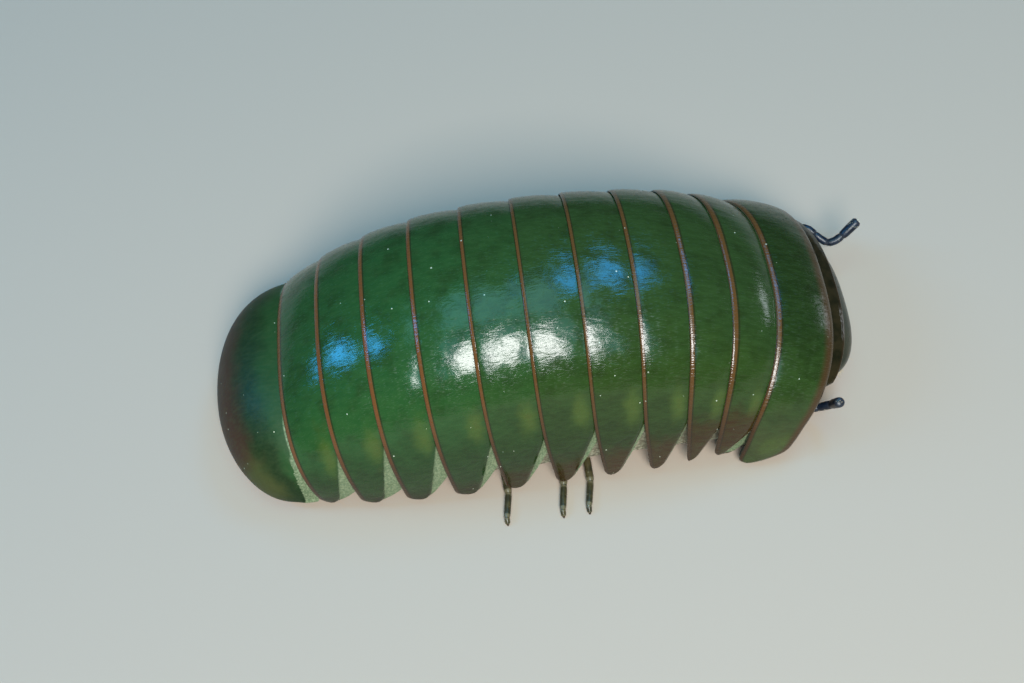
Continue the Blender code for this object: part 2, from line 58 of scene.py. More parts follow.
PICTURE_WIDTH = 1024
SENSOR_WIDTH = 36

back = Vector((
    math.sin(AZIMUTH) * math.cos(ELEVATION),
    -math.cos(AZIMUTH) * math.cos(ELEVATION),
    math.sin(ELEVATION),
))
level = Vector((math.cos(AZIMUTH), math.sin(AZIMUTH), 0.0))
upright = back.cross(level)
right = math.cos(ROLL) * level + math.sin(ROLL) * upright
upward = math.cos(ROLL) * upright - math.sin(ROLL) * level
bpy.ops.object.camera_add()
camera = bpy.context.object
camera.data.sensor_width = SENSOR_WIDTH
camera.data.lens = SENSOR_WIDTH * DISTANCE / (PIXEL_MM * PICTURE_WIDTH)
camera.data.clip_start = 0.01
axes = Matrix((right, upward, back)).transposed().to_4x4()
camera.matrix_world = Matrix.Translation((LOOK_AT + back * DISTANCE) * MM) @ axes
bpy.context.scene.camera = camera
print("camera lens mm:", round(camera.data.lens, 2))

# %% [markdown]
# ## Floor and lights
# A glossy shell shows its lights as white shapes. One soft box stands right behind the camera, where its
# mirror image falls on the flank of plates 6 to 9, as in the photo, and a wide faint blue one behind it
# stands for the sky round it. One more pale blue box hangs overhead and gives the crown its wet sheen. Two
# small deep blue ones give the sky-blue patches near the crown and on the rear plates. A long thin one
# ahead of the body draws a line on the collum.
# %% Floor and lights
# Name, direction, distance and size in mm, power, colour and turn in degrees
SOFT_BOXES = (
    ("key_box", (0.055, -0.68, 0.73), 520, (190, 235), 4.6, (1.0, 0.98, 0.95), 0),
    ("sky_box", (0.08, -0.63, 0.77), 570, (420, 400), 1.2, (0.2, 0.72, 1.0), 0),
    ("high_box", (0.0, 0.04, 1.0), 600, (380, 330), 1.2, (0.25, 0.82, 1.0), 0),
    ("sheen_box", (0.42, 0.34, 0.85), 600, (175, 165), 1.2, (0.04, 0.42, 1.0), 0),
    ("front_box", (0.95, 0.25, 0.15), 500, (120, 45), 0.1, (0.85, 0.92, 1.0), 0),
    ("rear_box", (-0.78, 0.1, 0.62), 500, (75, 240), 1.2, (0.04, 0.42, 1.0), -35),
)
FLOOR_COLOUR = (0.34, 0.27, 0.21, 1)
WORLD_COLOUR = (0.86, 0.88, 0.9, 1)
WORLD_STRENGTH = 0.08

bpy.ops.mesh.primitive_plane_add(size=3.0)
floor = bpy.context.object
floor.name = "floor"
floor_paint = bpy.data.materials.new("pale_floor")
floor_paint.use_nodes = True
floor_shader = floor_paint.node_tree.nodes["Principled BSDF"]
floor_shader.inputs["Base Color"].default_value = FLOOR_COLOUR
floor_shader.inputs["Roughness"].default_value = 0.8
floor.data.materials.append(floor_paint)

for name, direction, distance, size, power, colour, turn in SOFT_BOXES:
    direction = Vector(direction)
    bpy.ops.object.light_add(type="AREA", location=direction.normalized() * distance * MM)
    lamp = bpy.context.object
    lamp.name = name
    lamp.data.shape = "RECTANGLE"
    lamp.data.size, lamp.data.size_y = (side * MM for side in size)
    lamp.data.energy = power
    lamp.data.color = colour
    facing = direction.to_track_quat("Z", "Y")
    lamp.rotation_euler = (facing @ Quaternion((0.0, 0.0, 1.0), math.radians(turn))).to_euler()
world = bpy.data.worlds.new("studio")
bpy.context.scene.world = world
world.use_nodes = True
world.node_tree.nodes["Background"].inputs["Color"].default_value = WORLD_COLOUR
world.node_tree.nodes["Background"].inputs["Strength"].default_value = WORLD_STRENGTH
bpy.context.scene.view_settings.view_transform = "Standard"
print("lights:", len(SOFT_BOXES))

# %% [markdown]
# ## Tools for the pieces
# Each skin starts as a flat grid. Its points are then set on a curved form by a formula, like a sheet
# pressed over a mould. That is steadier than pulling points by hand, because neighbouring plates have
# to overlap with even gaps. Here are the few helpers that every piece uses.
# %% Helpers
def only(*pieces):
    """Select these pieces alone."""
    bpy.ops.object.select_all(action="DESELECT")
    for piece in pieces:
        piece.select_set(True)
    bpy.context.view_layer.objects.active = pieces[0]


def place(piece, points):
    """Set every point of a piece, given in millimetres."""
    flat = [value * MM for point in points for value in point]
    piece.data.vertices.foreach_set("co", flat)
    piece.data.update()


def named(name, form=None):
    """Name the primitive that was just added, and set its points by a formula, in millimetres."""
    piece = bpy.context.object
    piece.name = name
    piece.data.name = name
    if form:
        place(piece, [form(vert.co) for vert in piece.data.vertices])
    return piece


def new_grid(name, columns, rows):
    """A flat grid, and the column and row of each of its points."""
    bpy.ops.mesh.primitive_grid_add(x_subdivisions=columns, y_subdivisions=rows, size=1)
    piece = named(name)
    return piece, [(round((vert.co.x + 0.5) * columns), round((vert.co.y + 0.5) * rows))
                   for vert in piece.data.vertices]


def store(piece, name, values):
    """Keep one number at every point, for the material to read."""
    piece.data.attributes.new(name, "FLOAT", "POINT").data.foreach_set("value", values)


def lay_out(piece, places):
    """Use these places, in millimetres on the surface, as the piece's UV map."""
    corners = piece.data.uv_layers[0].uv
    for loop in piece.data.loops:
        corners[loop.index].vector = places[loop.vertex_index]


def close_up(piece, angle=50):
    """Join the seam, close the open ends, turn the faces outwards and smooth the shading."""
    only(piece)
    bpy.ops.object.mode_set(mode="EDIT")
    bpy.ops.mesh.select_all(action="SELECT")
    bpy.ops.mesh.remove_doubles(threshold=0.000001)
    bpy.ops.mesh.fill_holes(sides=0)
    bpy.ops.mesh.select_all(action="SELECT")
    bpy.ops.mesh.normals_make_consistent(inside=False)
    bpy.ops.object.mode_set(mode="OBJECT")
    bpy.ops.object.shade_smooth_by_angle(angle=math.radians(angle))


def keep(piece, material, slot, *nodes):
    """Finish a piece: its material, its body, its place in the list of made pieces and the solids it stands
    for. The slot is not used.
    """
    piece.data.materials.clear()
    piece.data.materials.append(material)
    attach(piece, "root")
    if nodes:
        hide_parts(*nodes)
    made.append(piece)


made = []
print("helpers ready")

# %% [markdown]
# ## The arch of the body
# A cut across the back is a rounded arch. It is given for every station of the body: station 1 is the
# front margin of the neck shield, station k the rear rim of plate k, and past 12 the arch swings down
# over the rear shield. These are the same formulas that shaped the solids.
# %% Arch of the body
SHIELD_PITCH = 5.3
TERGITE_PITCH = (2.7, 2.8, 4.0, 4.9, 5.3, 5.5, 5.6, 5.3, 5.0, 4.5)
LAST_RIM = 12
HEM = 1.4
ARCH_POWER = 2.5
ANAL_POWER = 1.95
LOW_RISE = 8.0
LOW_COLUMNS = 20
HIGH_COLUMNS = 22


def signed_power(value, power):
    """A power that keeps the sign."""
    return math.copysign(abs(value) ** power, value)


def base_x(station):
    """Where the foot of the arch stands."""
    if station <= 2:
        return FRONT_BASE_X - SHIELD_PITCH * (station - 1)
    x = FRONT_BASE_X - SHIELD_PITCH
    for number, pitch in enumerate(TERGITE_PITCH, start=3):
        x -= pitch * min(1.0, max(0.0, station - number + 1))
    return x


def arch(station):
    """Base x, lean, half width, height and hem curl of the arch."""
    if station > LAST_RIM:
        swing = station - LAST_RIM
        x, lean, half_width, height, curl = arch(LAST_RIM)
        lean += (math.radians(-84) - lean) * swing
        height += 0.6 * math.sin(math.pi * swing) - 3.2 * swing ** 1.5
        return x - 2.6 * swing, lean, half_width - 0.6 * swing ** 2, height, curl * (1 - swing)
    front = max(0.0, (7 - station) / 6)
    rear = max(0.0, (station - 7) / 5)
    lean = math.radians(46) * math.exp(-0.38 * max(station - 1, 0.0) ** 1.2)
    lean -= math.radians(10) * math.exp(-0.8 * (LAST_RIM - station))
    height = 21.9 - 8.1 * front ** 1.74 - 10.6 * rear ** 2.3
    return base_x(station), lean, 16.1 - 1.7 * rear ** 3, height, 2.6 - 0.2 * (station - 1)


def arch_power(station):
    """How square the arch is: 2 is a round one."""
    swing = min(1.0, max(0.0, station - LAST_RIM))
    return ARCH_POWER + (ANAL_POWER - ARCH_POWER) * swing


def arch_point(station, angle, inset=0.0):
    """A point on the back, from the right hem at angle 0 over the crown to the left one at pi."""
    x, lean, half_width, height, curl = arch(station)
    power = 2 / arch_power(station)
    height_share = max(math.sin(angle), 0.0)
    y = -signed_power(math.cos(angle), power) * (half_width - inset)
    up = height_share ** power * (height - inset)
    forward = curl * (1 - height_share) ** 3
    return Vector((
        x + up * math.sin(lean) + forward * math.cos(lean),
        y,
        HEM + up * math.cos(lean) - 0.4 * forward * math.sin(lean),
    ))


def angle_at_rise(station, rise):
    return math.asin(min(1.0, (rise / arch(station)[3]) ** (ARCH_POWER / 2)))


def rise_at_angle(station, angle):
    return arch(station)[3] * max(math.sin(angle), 0.0) ** (2 / ARCH_POWER)


def fine_angles(station, foot=0.0):
    """Angles from hem to hem, close together at the hems, where the plates end in tongues."""
    half = [angle_at_rise(station, foot + (LOW_RISE - foot) * (i / LOW_COLUMNS) ** 1.5)
            for i in range(LOW_COLUMNS)]
    start = angle_at_rise(station, LOW_RISE)
    half += [start + (math.pi / 2 - start) * i / HIGH_COLUMNS for i in range(HIGH_COLUMNS + 1)]
    return half + [math.pi - angle for angle in reversed(half[:-1])]


print("crown of plate 7, mm:", [round(v, 2) for v in arch_point(7, math.pi / 2)])

# %% [markdown]
# ## Shader helpers
# A material is a small graph of nodes. `add` makes a node and sets its inputs by name in one line, which
# keeps the graphs readable. The other methods stand for the few nodes that nearly every material needs.
# Wiring every node by hand in the editor gives the same graph, but can't be repeated for a new material.
# %% Shader helpers
class Graph:
    """A node tree, with short ways to add nodes."""

    def __init__(self, tree):
        self.tree = tree

    def feed(self, socket, value):
        """Link an output to a socket, or set the socket's own value."""
        if isinstance(value, bpy.types.NodeSocket):
            self.tree.links.new(value, socket)
        elif socket.type == "RGBA":
            socket.default_value = (*value, 1)
        else:
            socket.default_value = value

    def add(self, kind, *inputs, **settings):
        """One node, with inputs given as (name or number, value or output socket)."""
        node = self.tree.nodes.new("ShaderNode" + kind)
        for name, value in settings.items():
            setattr(node, name, value)
        for name, value in inputs:
            self.feed(node.inputs[name], value)
        return node

    def math(self, operation, *values):
        return self.add("Math", *enumerate(values), operation=operation).outputs[0]

    def plus(self, first, second):
        return self.math("ADD", first, second)

    def times(self, first, second):
        return self.math("MULTIPLY", first, second)

    def mix(self, share, first, second):
        """The first colour, turned into the second by a share."""
        return self.add("Mix", (0, share), (6, first), (7, second), data_type="RGBA").outputs[2]

    def above(self, value, low, high):
        """0 below low and 1 above high, or the other way round if low is the larger one."""
        node = self.add("MapRange", (0, value), (1, low), (2, high), interpolation_type="SMOOTHSTEP")
        return node.outputs[0]

    def attribute(self, name):
        return self.add("Attribute", attribute_name=name).outputs["Fac"]

    def noise(self, scale, detail=3.0, place=None, roughness=0.5):
        """The outputs of a noise, on the piece's own place unless another one is given."""
        place = self.place if place is None else place
        values = (("Vector", place), ("Scale", scale), ("Detail", detail), ("Roughness", roughness))
        return self.add("TexNoise", *values).outputs

    def cloud(self, *values):
        """Soft noise from 0 to 1."""
        return self.noise(*values)["Fac"]

    def ragged(self, scale, detail, width):
        """Soft noise that goes up and down round 0."""
        return self.times(self.math("SUBTRACT", self.cloud(scale, detail), 0.5), width)

    def clouded(self, scale, low, high, first, second):
        """Two colours in soft clouds."""
        return self.mix(self.above(self.cloud(scale), low, high), first, second)

    def layered(self, colour, *layers):
        """A colour under some layers, each given by its mask, its strength and its own colour."""
        for mask, strength, tone in layers:
            colour = self.mix(self.times(mask, strength), colour, tone)
        return colour


print("noises and masks ready")

# %% [markdown]
# ## A new material
# A `Look` is such a graph together with its new material and its shader. It counts places in millimetres,
# because the animal is small and the scale of a noise is easier to choose in the size that one sees.
# %% A new material
class Look(Graph):
    """A new material. Its place is the object coordinate, counted in millimetres."""

    def __init__(self, name, roughness=0.2):
        self.material = bpy.data.materials.new(name)
        self.material.use_nodes = True
        super().__init__(self.material.node_tree)
        self.shader = self.tree.nodes["Principled BSDF"]
        self.give("Roughness", roughness)
        surface = self.add("TexCoord").outputs
        self.uv = surface["UV"]
        scaled = self.add("VectorMath", (0, surface["Object"]), (3, 1 / MM), operation="SCALE")
        self.place = scaled.outputs[0]

    def give(self, name, value):
        """Set or link one input of the shader."""
        self.feed(self.shader.inputs[name], value)

    def bump(self, height, strength, distance, **settings):
        values = (("Strength", strength), ("Distance", distance), ("Height", height))
        self.give("Normal", self.add("Bump", *values, **settings).outputs[0])

    def stretched(self, across, along):
        """The surface place, squeezed or stretched on its own across and along the body."""
        sizes = (across, along, 1.0)
        return self.add("VectorMath", (0, self.uv), (1, sizes), operation="MULTIPLY").outputs[0]


print("material helper ready")

# %% [markdown]
# ## Wrinkles and specks
# The plates look smooth from afar, but a close look shows short wrinkles that run along the body, like the
# grain of polished leather. Noise that is squeezed across and stretched along gives them. The specks are
# tiny pale spots, partly grains that stick to the shell and partly painted glints: a cell pattern keeps
# them apart. Several materials use both, so each is a node group, built once.
# %% Wrinkle and speck groups
class Group(Graph):
    """A new node group that takes a place and some numbers, and gives other numbers."""

    def __init__(self, name, numbers, results):
        super().__init__(bpy.data.node_groups.new(name, "ShaderNodeTree"))
        sockets = [("Place", "INPUT", "NodeSocketVector")]
        sockets += [(word, "INPUT", "NodeSocketFloat") for word in numbers]
        sockets += [(word, "OUTPUT", "NodeSocketFloat") for word in results]
        for word, way, kind in sockets:
            self.tree.interface.new_socket(word, in_out=way, socket_type=kind)
        self.given = self.tree.nodes.new("NodeGroupInput").outputs
        self.result = self.tree.nodes.new("NodeGroupOutput").inputs
        self.place = self.given["Place"]


wrinkles = Group("shell_wrinkles", ("Along", "Across"), ("Height", "Tone"))
split = wrinkles.add("SeparateXYZ", (0, wrinkles.place)).outputs
squeezed = wrinkles.add(
    "CombineXYZ",
    (0, wrinkles.times(split[0], wrinkles.given["Across"])),
    (1, wrinkles.times(split[1], wrinkles.given["Along"])),
)
sway = wrinkles.noise(0.6, 2.0)["Color"]
swayed = wrinkles.add("VectorMath", (0, squeezed.outputs[0]), (1, sway), operation="ADD")
fine = wrinkles.cloud(1.0, 4.0, swayed.outputs[0], 0.6)
patches = wrinkles.above(wrinkles.cloud(0.45, 1.0), 0.25, 0.65)
wrinkles.feed(wrinkles.result["Height"], wrinkles.times(fine, patches))
wrinkles.feed(wrinkles.result["Tone"], fine)

specks = Group("shell_specks", ("Scale", "Share", "Size"), ("Mask",))
cells = specks.add("TexVoronoi", ("Vector", specks.place), ("Scale", specks.given["Scale"])).outputs
pick = specks.add("SeparateColor", (0, cells["Color"])).outputs
chosen = specks.math("LESS_THAN", pick[0], specks.given["Share"])
near = specks.math("LESS_THAN", cells["Distance"], specks.times(specks.given["Size"], pick[1]))
specks.feed(specks.result["Mask"], specks.times(chosen, near))


def wrinkled(look, along, across):
    """The height and tone of the wrinkles."""
    sizes = (("Along", along), ("Across", across))
    return look.add("Group", ("Place", look.uv), *sizes, node_tree=wrinkles.tree).outputs


def specked(look, scale, share, size):
    """1 on the specks, 0 between them."""
    sizes = (("Scale", scale), ("Share", share), ("Size", size))
    return look.add("Group", ("Place", look.place), *sizes, node_tree=specks.tree).outputs["Mask"]


print("groups:", [group.name for group in bpy.data.node_groups])

# %% [markdown]
# ## The green shell
# The ground is an emerald green that gets darker down the flank. Every plate ends in a red-brown rim
# with a dark line along each side of it. Half way up the front part of a plate lies a yellow-olive patch,
# the tip turns dark brown, and the sunken field ahead of the tip is pale and grainy. The numbers stored
# at the points tell the material where each of these lies. Painting an image would fix the detail to one
# size, and nodes stay sharp at any distance.
# %% Green shell material
AFT_GREENS = ((0.008, 0.026, 0.004), (0.013, 0.05, 0.012), (0.011, 0.046, 0.012))
RIM_BROWN = (0.075, 0.034, 0.01)
AFT_RIM_BROWN = (0.115, 0.042, 0.013)
LOW_RIM_BROWN = (0.03, 0.014, 0.005)
INNER_FACE = (0.16, 0.17, 0.1)


def with_field(look, colour, field):
    """The colour with the pale sunken field laid over it, and the grains of that field."""
    grains = look.cloud(5.0, 2.0)
    pale = look.mix(look.above(grains, 0.38, 0.66), (0.085, 0.12, 0.06), (0.18, 0.21, 0.12))
    return look.mix(field, colour, pale), grains


def with_crest_sheen(look, colour, wrinkle, strength, tone):
    """The colour with a painted sheen: paler on the crests of the wrinkles, as where they catch the light.
    """
    crest_sheen = look.above(wrinkle["Tone"], 0.35, 0.7)
    return look.layered(colour, (crest_sheen, strength, look.mix(0.5, colour, tone)))


def shell_material(name, greens, gloss):
    """The shell, with its own greens from the hem to the crown and its own gloss."""
    look = Look(name)
    rim, front, rise, inner, aft = map(look.attribute, ("rim", "front", "rise", "inner", "aft"))
    height = look.plus(rise, look.ragged(0.5, 3.0, 6.0))
    low, middle, high = (look.mix(aft, *pair) for pair in zip(greens, AFT_GREENS))
    dark = tuple(0.35 * part for part in greens[1])
    ragged = look.ragged(0.9, 4.0, 0.9)
    patch = look.plus(look.attribute("blotch"), ragged)
    tip = look.above(look.plus(look.attribute("brown"), look.times(ragged, 0.8)), 0.0, 1.25)
    colour = look.layered(
        look.mix(look.above(height, 5.0, 16.0), low, middle),
        (look.above(height, 16.0, 21.0), 1.0, high),
        (look.above(look.cloud(0.45, 5.0), 0.42, 0.72), 0.4, dark),
        (look.above(patch, 0.1, 1.0), 0.6, (0.048, 0.075, 0.012)),
        (look.above(patch, 0.75, 1.3), 0.15, (0.08, 0.06, 0.012)),
        (tip, 0.94, look.mix(aft, (0.028, 0.009, 0.001), (0.008, 0.007, 0.001))),
    )
    field = look.above(look.plus(look.attribute("field"), look.times(ragged, 0.4)), 0.35, 0.85)
    colour, grains = with_field(look, colour, field)
    wrinkle = wrinkled(look, 1.0, 2.8)
    # Painted sheen: the crests of the wrinkles are paler, as where they catch the light
    colour = with_crest_sheen(look, colour, wrinkle, 0.2, (0.06, 0.12, 0.035))
    rim_tone = look.mix(aft, RIM_BROWN, AFT_RIM_BROWN)
    on_rim = look.above(rim, 0.32, 0.27)
    line = look.times(look.above(rim, 0.27, 0.32), look.above(rim, 0.43, 0.38))
    colour = look.layered(
        colour,
        (on_rim, 1.0, look.mix(look.above(height, 3.0, 18.0), LOW_RIM_BROWN, rim_tone)),
        (look.above(front, 1.4, 0.6), 1.0, (0.04, 0.022, 0.008)),
        (look.plus(line, look.above(rim, 0.07, 0.02)), 0.6, (0.014, 0.008, 0.004)),
        # Pale specks: partly grains on the shell, partly painted glints
        (specked(look, 1.7, 0.05, 0.16), 0.7, (0.55, 0.58, 0.46)),
        (inner, 1.0, INNER_FACE),
    )
    look.give("Base Color", colour)
    silk = look.times(look.above(look.cloud(1.0, 2.0, look.stretched(9.0, 2.2)), 0.54, 0.66), 0.26)
    rough = look.plus(look.plus(look.times(look.cloud(0.9), 0.08), gloss), silk)
    look.give("Roughness", look.plus(rough, look.times(field, 0.35)))
    relief = look.times(wrinkle["Height"], look.math("SUBTRACT", 2.0, look.times(on_rim, 2.0)))
    relief = look.plus(relief, look.times(look.times(grains, field), 1.5))
    ridges = look.times(look.cloud(1.0, 1.0, look.stretched(6.5, 0.8)), on_rim)
    look.bump(look.plus(relief, look.times(ridges, 1.8)), 0.22, 0.00013)
    look.give("IOR", 1.4)
    return look.material


GREENS = ((0.01, 0.02, 0.002), (0.016, 0.034, 0.006), (0.015, 0.034, 0.008))
green_shell = shell_material("green_shell_skin", GREENS, 0.08)
print("shell nodes:", len(green_shell.node_tree.nodes))

# %% [markdown]
# ## The cut of a plate
# Plates 3 to 12 are one form that changes a little from plate to plate, so a table holds what differs.
# The face rounds off towards the rear rim, and every rim catches the light. At each side the plate ends
# in a tongue with a round tip, and ahead of it lies a sunken field that slides under the plate ahead.
# %% Cut of a plate
LIP = 0.2
STEP = 0.34
TIP_RADIUS = 1.0
FIELD_SINK = 0.3
FIELD_TOP = 9.5
TOP_LEVEL = 22
NO_FRONT_RIM = 9.0

# Plates 3 to 12, in mm: height of the tip over the hem, how far ahead the front edge lies there and its
# slope, how far ahead the raised part ends and its slope, and up to where the tip is brown, and fading
PLATES = (
    (1.1, 1.6, 0.5, 0.4, 0.44, 7.0, 4.6),
    (0.7, 0.6, 0.33, 0.6, 0.33, 6.0, 5.0),
    (0.0, 1.35, 0.36, 1.35, 0.33, 3.9, 5.0),
    (0.0, 1.55, 0.43, 1.55, 0.37, 2.9, 5.2),
    (0.0, 1.65, 0.53, 1.65, 0.41, 2.3, 5.2),
    (0.0, 2.0, 0.58, 2.0, 0.41, 1.9, 4.8),
    (0.0, 2.5, 0.67, 2.5, 0.36, 0.8, 3.4),
    (0.0, 2.45, 0.8, 2.45, 0.32, 0.5, 2.9),
    (0.0, 2.4, 1.5, 2.4, 0.31, 0.3, 2.5),
    (0.0, 2.0, 1.6, 2.0, 0.4, 0.2, 2.4),
)


def ease(share):
    """A step from 0 to 1 with soft ends."""
    share = min(1.0, max(0.0, share))
    return share * share * (3 - 2 * share)


def bump_at(value, centre, width):
    """1 at the centre, fading to 0 on both sides."""
    return math.exp(-((value - centre) / width) ** 2)


def rim_depth(ahead, steep):
    """How deep the face lies near a rim: it rounds off gently first, then in a tight bead."""
    run = (0.08 + 0.04 * steep) * max(0.0, 1 - ahead / (1 - 0.2 * steep)) ** 2
    bead = 0.04 * max(0.0, 1 - ahead / 0.3) ** 2
    return run + bead + 0.06 * max(0.0, 1 - ahead / 0.06) ** 2


def rear_corner(rise):
    """How far the rounded rear corner of a tongue stands ahead of the rear rim."""
    if rise >= TIP_RADIUS:
        return 0.0
    return TIP_RADIUS * (1 - math.sqrt(1 - (1 - max(rise, 0.0) / TIP_RADIUS) ** 2))


def tongue(plate, rise, pitch):
    """Rear edge, end of the raised part and front edge, in mm ahead of the rear rim."""
    foot, reach, slope, start, gain = PLATES[plate - 3][:5]
    corner = rear_corner(rise - foot)
    rear = corner * min(0.9, max(0.25, 0.5 * reach - 0.2))
    least = 0.08 + 0.5 * math.sqrt(min(1.0, max(rise - foot, 0.0) / 0.8))
    front = max(min(reach + slope * rise - 0.6 * corner, pitch * 1.3), rear + least)
    raised = max(start + gain * rise - 0.6 * corner, rear + least)
    return rear, raised, front


def crown_depth(share):
    """The plate sinks towards its front, where the plate ahead lies over it."""
    return STEP * min(share, 1.0) ** 3 + 0.4 * max(0.0, share - 1)


print("edges of plate 7 at its tip, mm:", [round(v, 2) for v in tongue(7, 0.0, TERGITE_PITCH[4])])

# %% [markdown]
# ## Ten arched plates
# Each plate is a closed band: the grid goes along the outer face from the rear rim to the front edge, and
# back along the inner face. A Solidify modifier would thicken a single face faster, but the plates thin
# out towards their edges, and both faces have to be shaped.
# %% Arched plates
OUTER_SPOTS = (0.0, 0.025, 0.06, 0.13, 0.22, 0.32, 0.41, 0.5, 0.65, 0.82, 1.0)
OUTER_SHARES = tuple((i + 1) / 16 for i in range(16))
INNER_SHARES = (1.0, 0.8, 0.6, 0.4, 0.2, 0.08, 0.0)


def closed_band(name, sections, arcs):
    """Roll a grid into a closed band of sections, whose points bring their numbers for the material."""
    count = len(sections[0])
    piece, cells = new_grid(name, len(sections) - 1, count)
    spots = [(arcs[column], *sections[column][row % count]) for column, row in cells]
    place(piece, [point for arc, point, ahead, values in spots])
    lay_out(piece, [(arc, ahead) for arc, point, ahead, values in spots])
    for key in sections[0][0][2]:
        store(piece, key, [values[key] for arc, point, ahead, values in spots])
    close_up(piece)
    return piece


def arched_band(name, station, section, foot=0.0):
    """A closed band over the back, with its surface places counted from the crown."""
    angles = fine_angles(station, foot)
    points = [arch_point(station, angle) for angle in angles]
    arcs = [0.0]
    for a, b in zip(points, points[1:]):
        arcs.append(arcs[-1] + (b - a).length)
    crown = arcs[len(arcs) // 2]
    return closed_band(name, [section(angle) for angle in angles], [arc - crown for arc in arcs])


def plate_section(plate):
    """The outline of one plate cut along the body, as a function of the arch angle."""
    pitch = TERGITE_PITCH[plate - 3]
    foot = PLATES[plate - 3][0]
    brown_to, brown_fade = PLATES[plate - 3][5:]
    top = arch(plate)[3]
    aft = ease((plate - 6) / 4)
    steep = min(1.0, max(0.0, (6 - plate) / 2))

    def section(angle):
        rise = rise_at_angle(plate, angle)
        rear, raised, front = tongue(plate, rise, pitch)
        length = front - rear
        row = []

        def put(ahead, wall, inner):
            at = rear + ahead
            on_field = ease((at - raised + 0.3) / 0.55)
            patch = 1.05 * bump_at(rise, 0.55 * top, 2.4) * bump_at(at / pitch, 0.8, 0.2)
            brown = 1 - ease((rise - brown_to) / brown_fade)
            values = {
                "rim": min(ahead * (1 - 0.32 * aft), 1.3 * (rise - foot) + 0.05),
                "front": NO_FRONT_RIM,
                "rise": TOP_LEVEL * rise / top,
                "inner": inner,
                "blotch": patch * (1 - on_field),
                "brown": brown * (1 - 0.8 * on_field),
                "aft": aft,
                "field": on_field * (1 - ease((rise - FIELD_TOP) / 1.5)),
            }
            depth = crown_depth(at / pitch) + FIELD_SINK * on_field + wall
            row.append((arch_point(plate - at / pitch, angle, depth), at, values))

        begin = min(1.0, 0.5 * length)
        spots = [spot * begin for spot in OUTER_SPOTS]
        spots += [begin + (length - begin) * share for share in OUTER_SHARES]
        for spot in spots:
            put(spot, rim_depth(spot, steep) * min(1.0, length / 1.6), 0.0)
        for share in INNER_SHARES:
            put(length * share, LIP + 0.06 * steep + 0.12 * math.sin(math.pi * share), 1.0)
        return row

    return section


for plate in range(3, LAST_RIM + 1):
    name = f"tergite_{plate:02d}"
    piece = arched_band(f"{name}_skin", plate, plate_section(plate), PLATES[plate - 3][0])
    keep(piece, green_shell, "green_shell", name)
print("arched plates:", len(made), "faces each:", len(made[0].data.polygons))

# %% [markdown]
# ## The neck shield
# The second plate is the longest. It swells between a rounded rear rim and a broad brown front rim, and
# its sides end in wide flaps. It is the same closed band with another outline.
# %% Neck shield
# Hem, middle and crown greens of the neck shield. The darker crown green is painted shade, for the top that
# turns away from the light.
SHIELD_GREENS_SHADED_CROWN = ((0.026, 0.034, 0.009), (0.015, 0.033, 0.006), (0.009, 0.021, 0.004))


def shield_section(angle):
    """The outline of the neck shield cut along the body."""
    rise = rise_at_angle(2, angle)
    rear = rear_corner(rise)
    longest = SHIELD_PITCH - 0.35 * math.sin(angle) ** 4
    rounding = (1 - (1 - min(rise / 2.4, 1.0)) ** 2.2) ** (1 / 2.2)
    length = max(0.6 + (longest - 0.6) * rounding, rear + 0.35) - rear
    flare = 0.6 * max(0.0, 1 - rise / 6.0)
    row = []

    def put(ahead, wall, inner):
        share = ahead / length
        values = {
            "rim": ahead,
            "front": length - ahead,
            "rise": TOP_LEVEL * rise / arch(2)[3],
            "inner": inner,
            "blotch": 0.75 * bump_at(rise, 3.4, 2.2) * bump_at(share, 0.55, 0.4),
            "brown": 0.0,
            "aft": 0.0,
            "field": 0.0,
        }
        swell = 0.27 * math.sin(math.pi * share) ** 0.9 * min(1.0, length / 3)
        station = 2 - (rear + ahead) / SHIELD_PITCH
        row.append((arch_point(station, angle, wall - swell - flare), rear + ahead, values))

    begin = min(1.0, 0.3 * length)
    spots = [spot * begin for spot in OUTER_SPOTS]
    spots += [begin + (length - 2 * begin) * share for share in OUTER_SHARES]
    spots += [length - spot * begin for spot in reversed(OUTER_SPOTS[:-1])]
    for spot in spots:
        front_depth = 0.15 * max(0.0, 1 - (length - spot) / 0.5) ** 2
        margin = rim_depth(spot, 1.0) if spot < length / 2 else front_depth
        put(spot, margin * min(1.0, length / 1.6), 0.0)
    for share in INNER_SHARES:
        put(length * share, LIP + 0.06 + 0.15 * math.sin(math.pi * share), 1.0)
    return row


shield = arched_band("thoracic_shield_skin", 2, shield_section)
keep(shield, shell_material("shield_skin", SHIELD_GREENS_SHADED_CROWN, 0.14), "green_shell", "thoracic_shield")
print("neck shield faces:", len(shield.data.polygons))

# %% [markdown]
# ## The rear shield
# The last plate is a dome that swings down behind the body, tucked under plate 12. Its front is green,
# its rear dark red-brown with a thin lighter margin, and its lower corners are olive, then dark green.
# The colour follows the swing of the dome, which is stored at each point.
# %% Rear shield
ANAL_ROWS = 34
ANAL_INNER_ROWS = 10
SWING_MM = 13


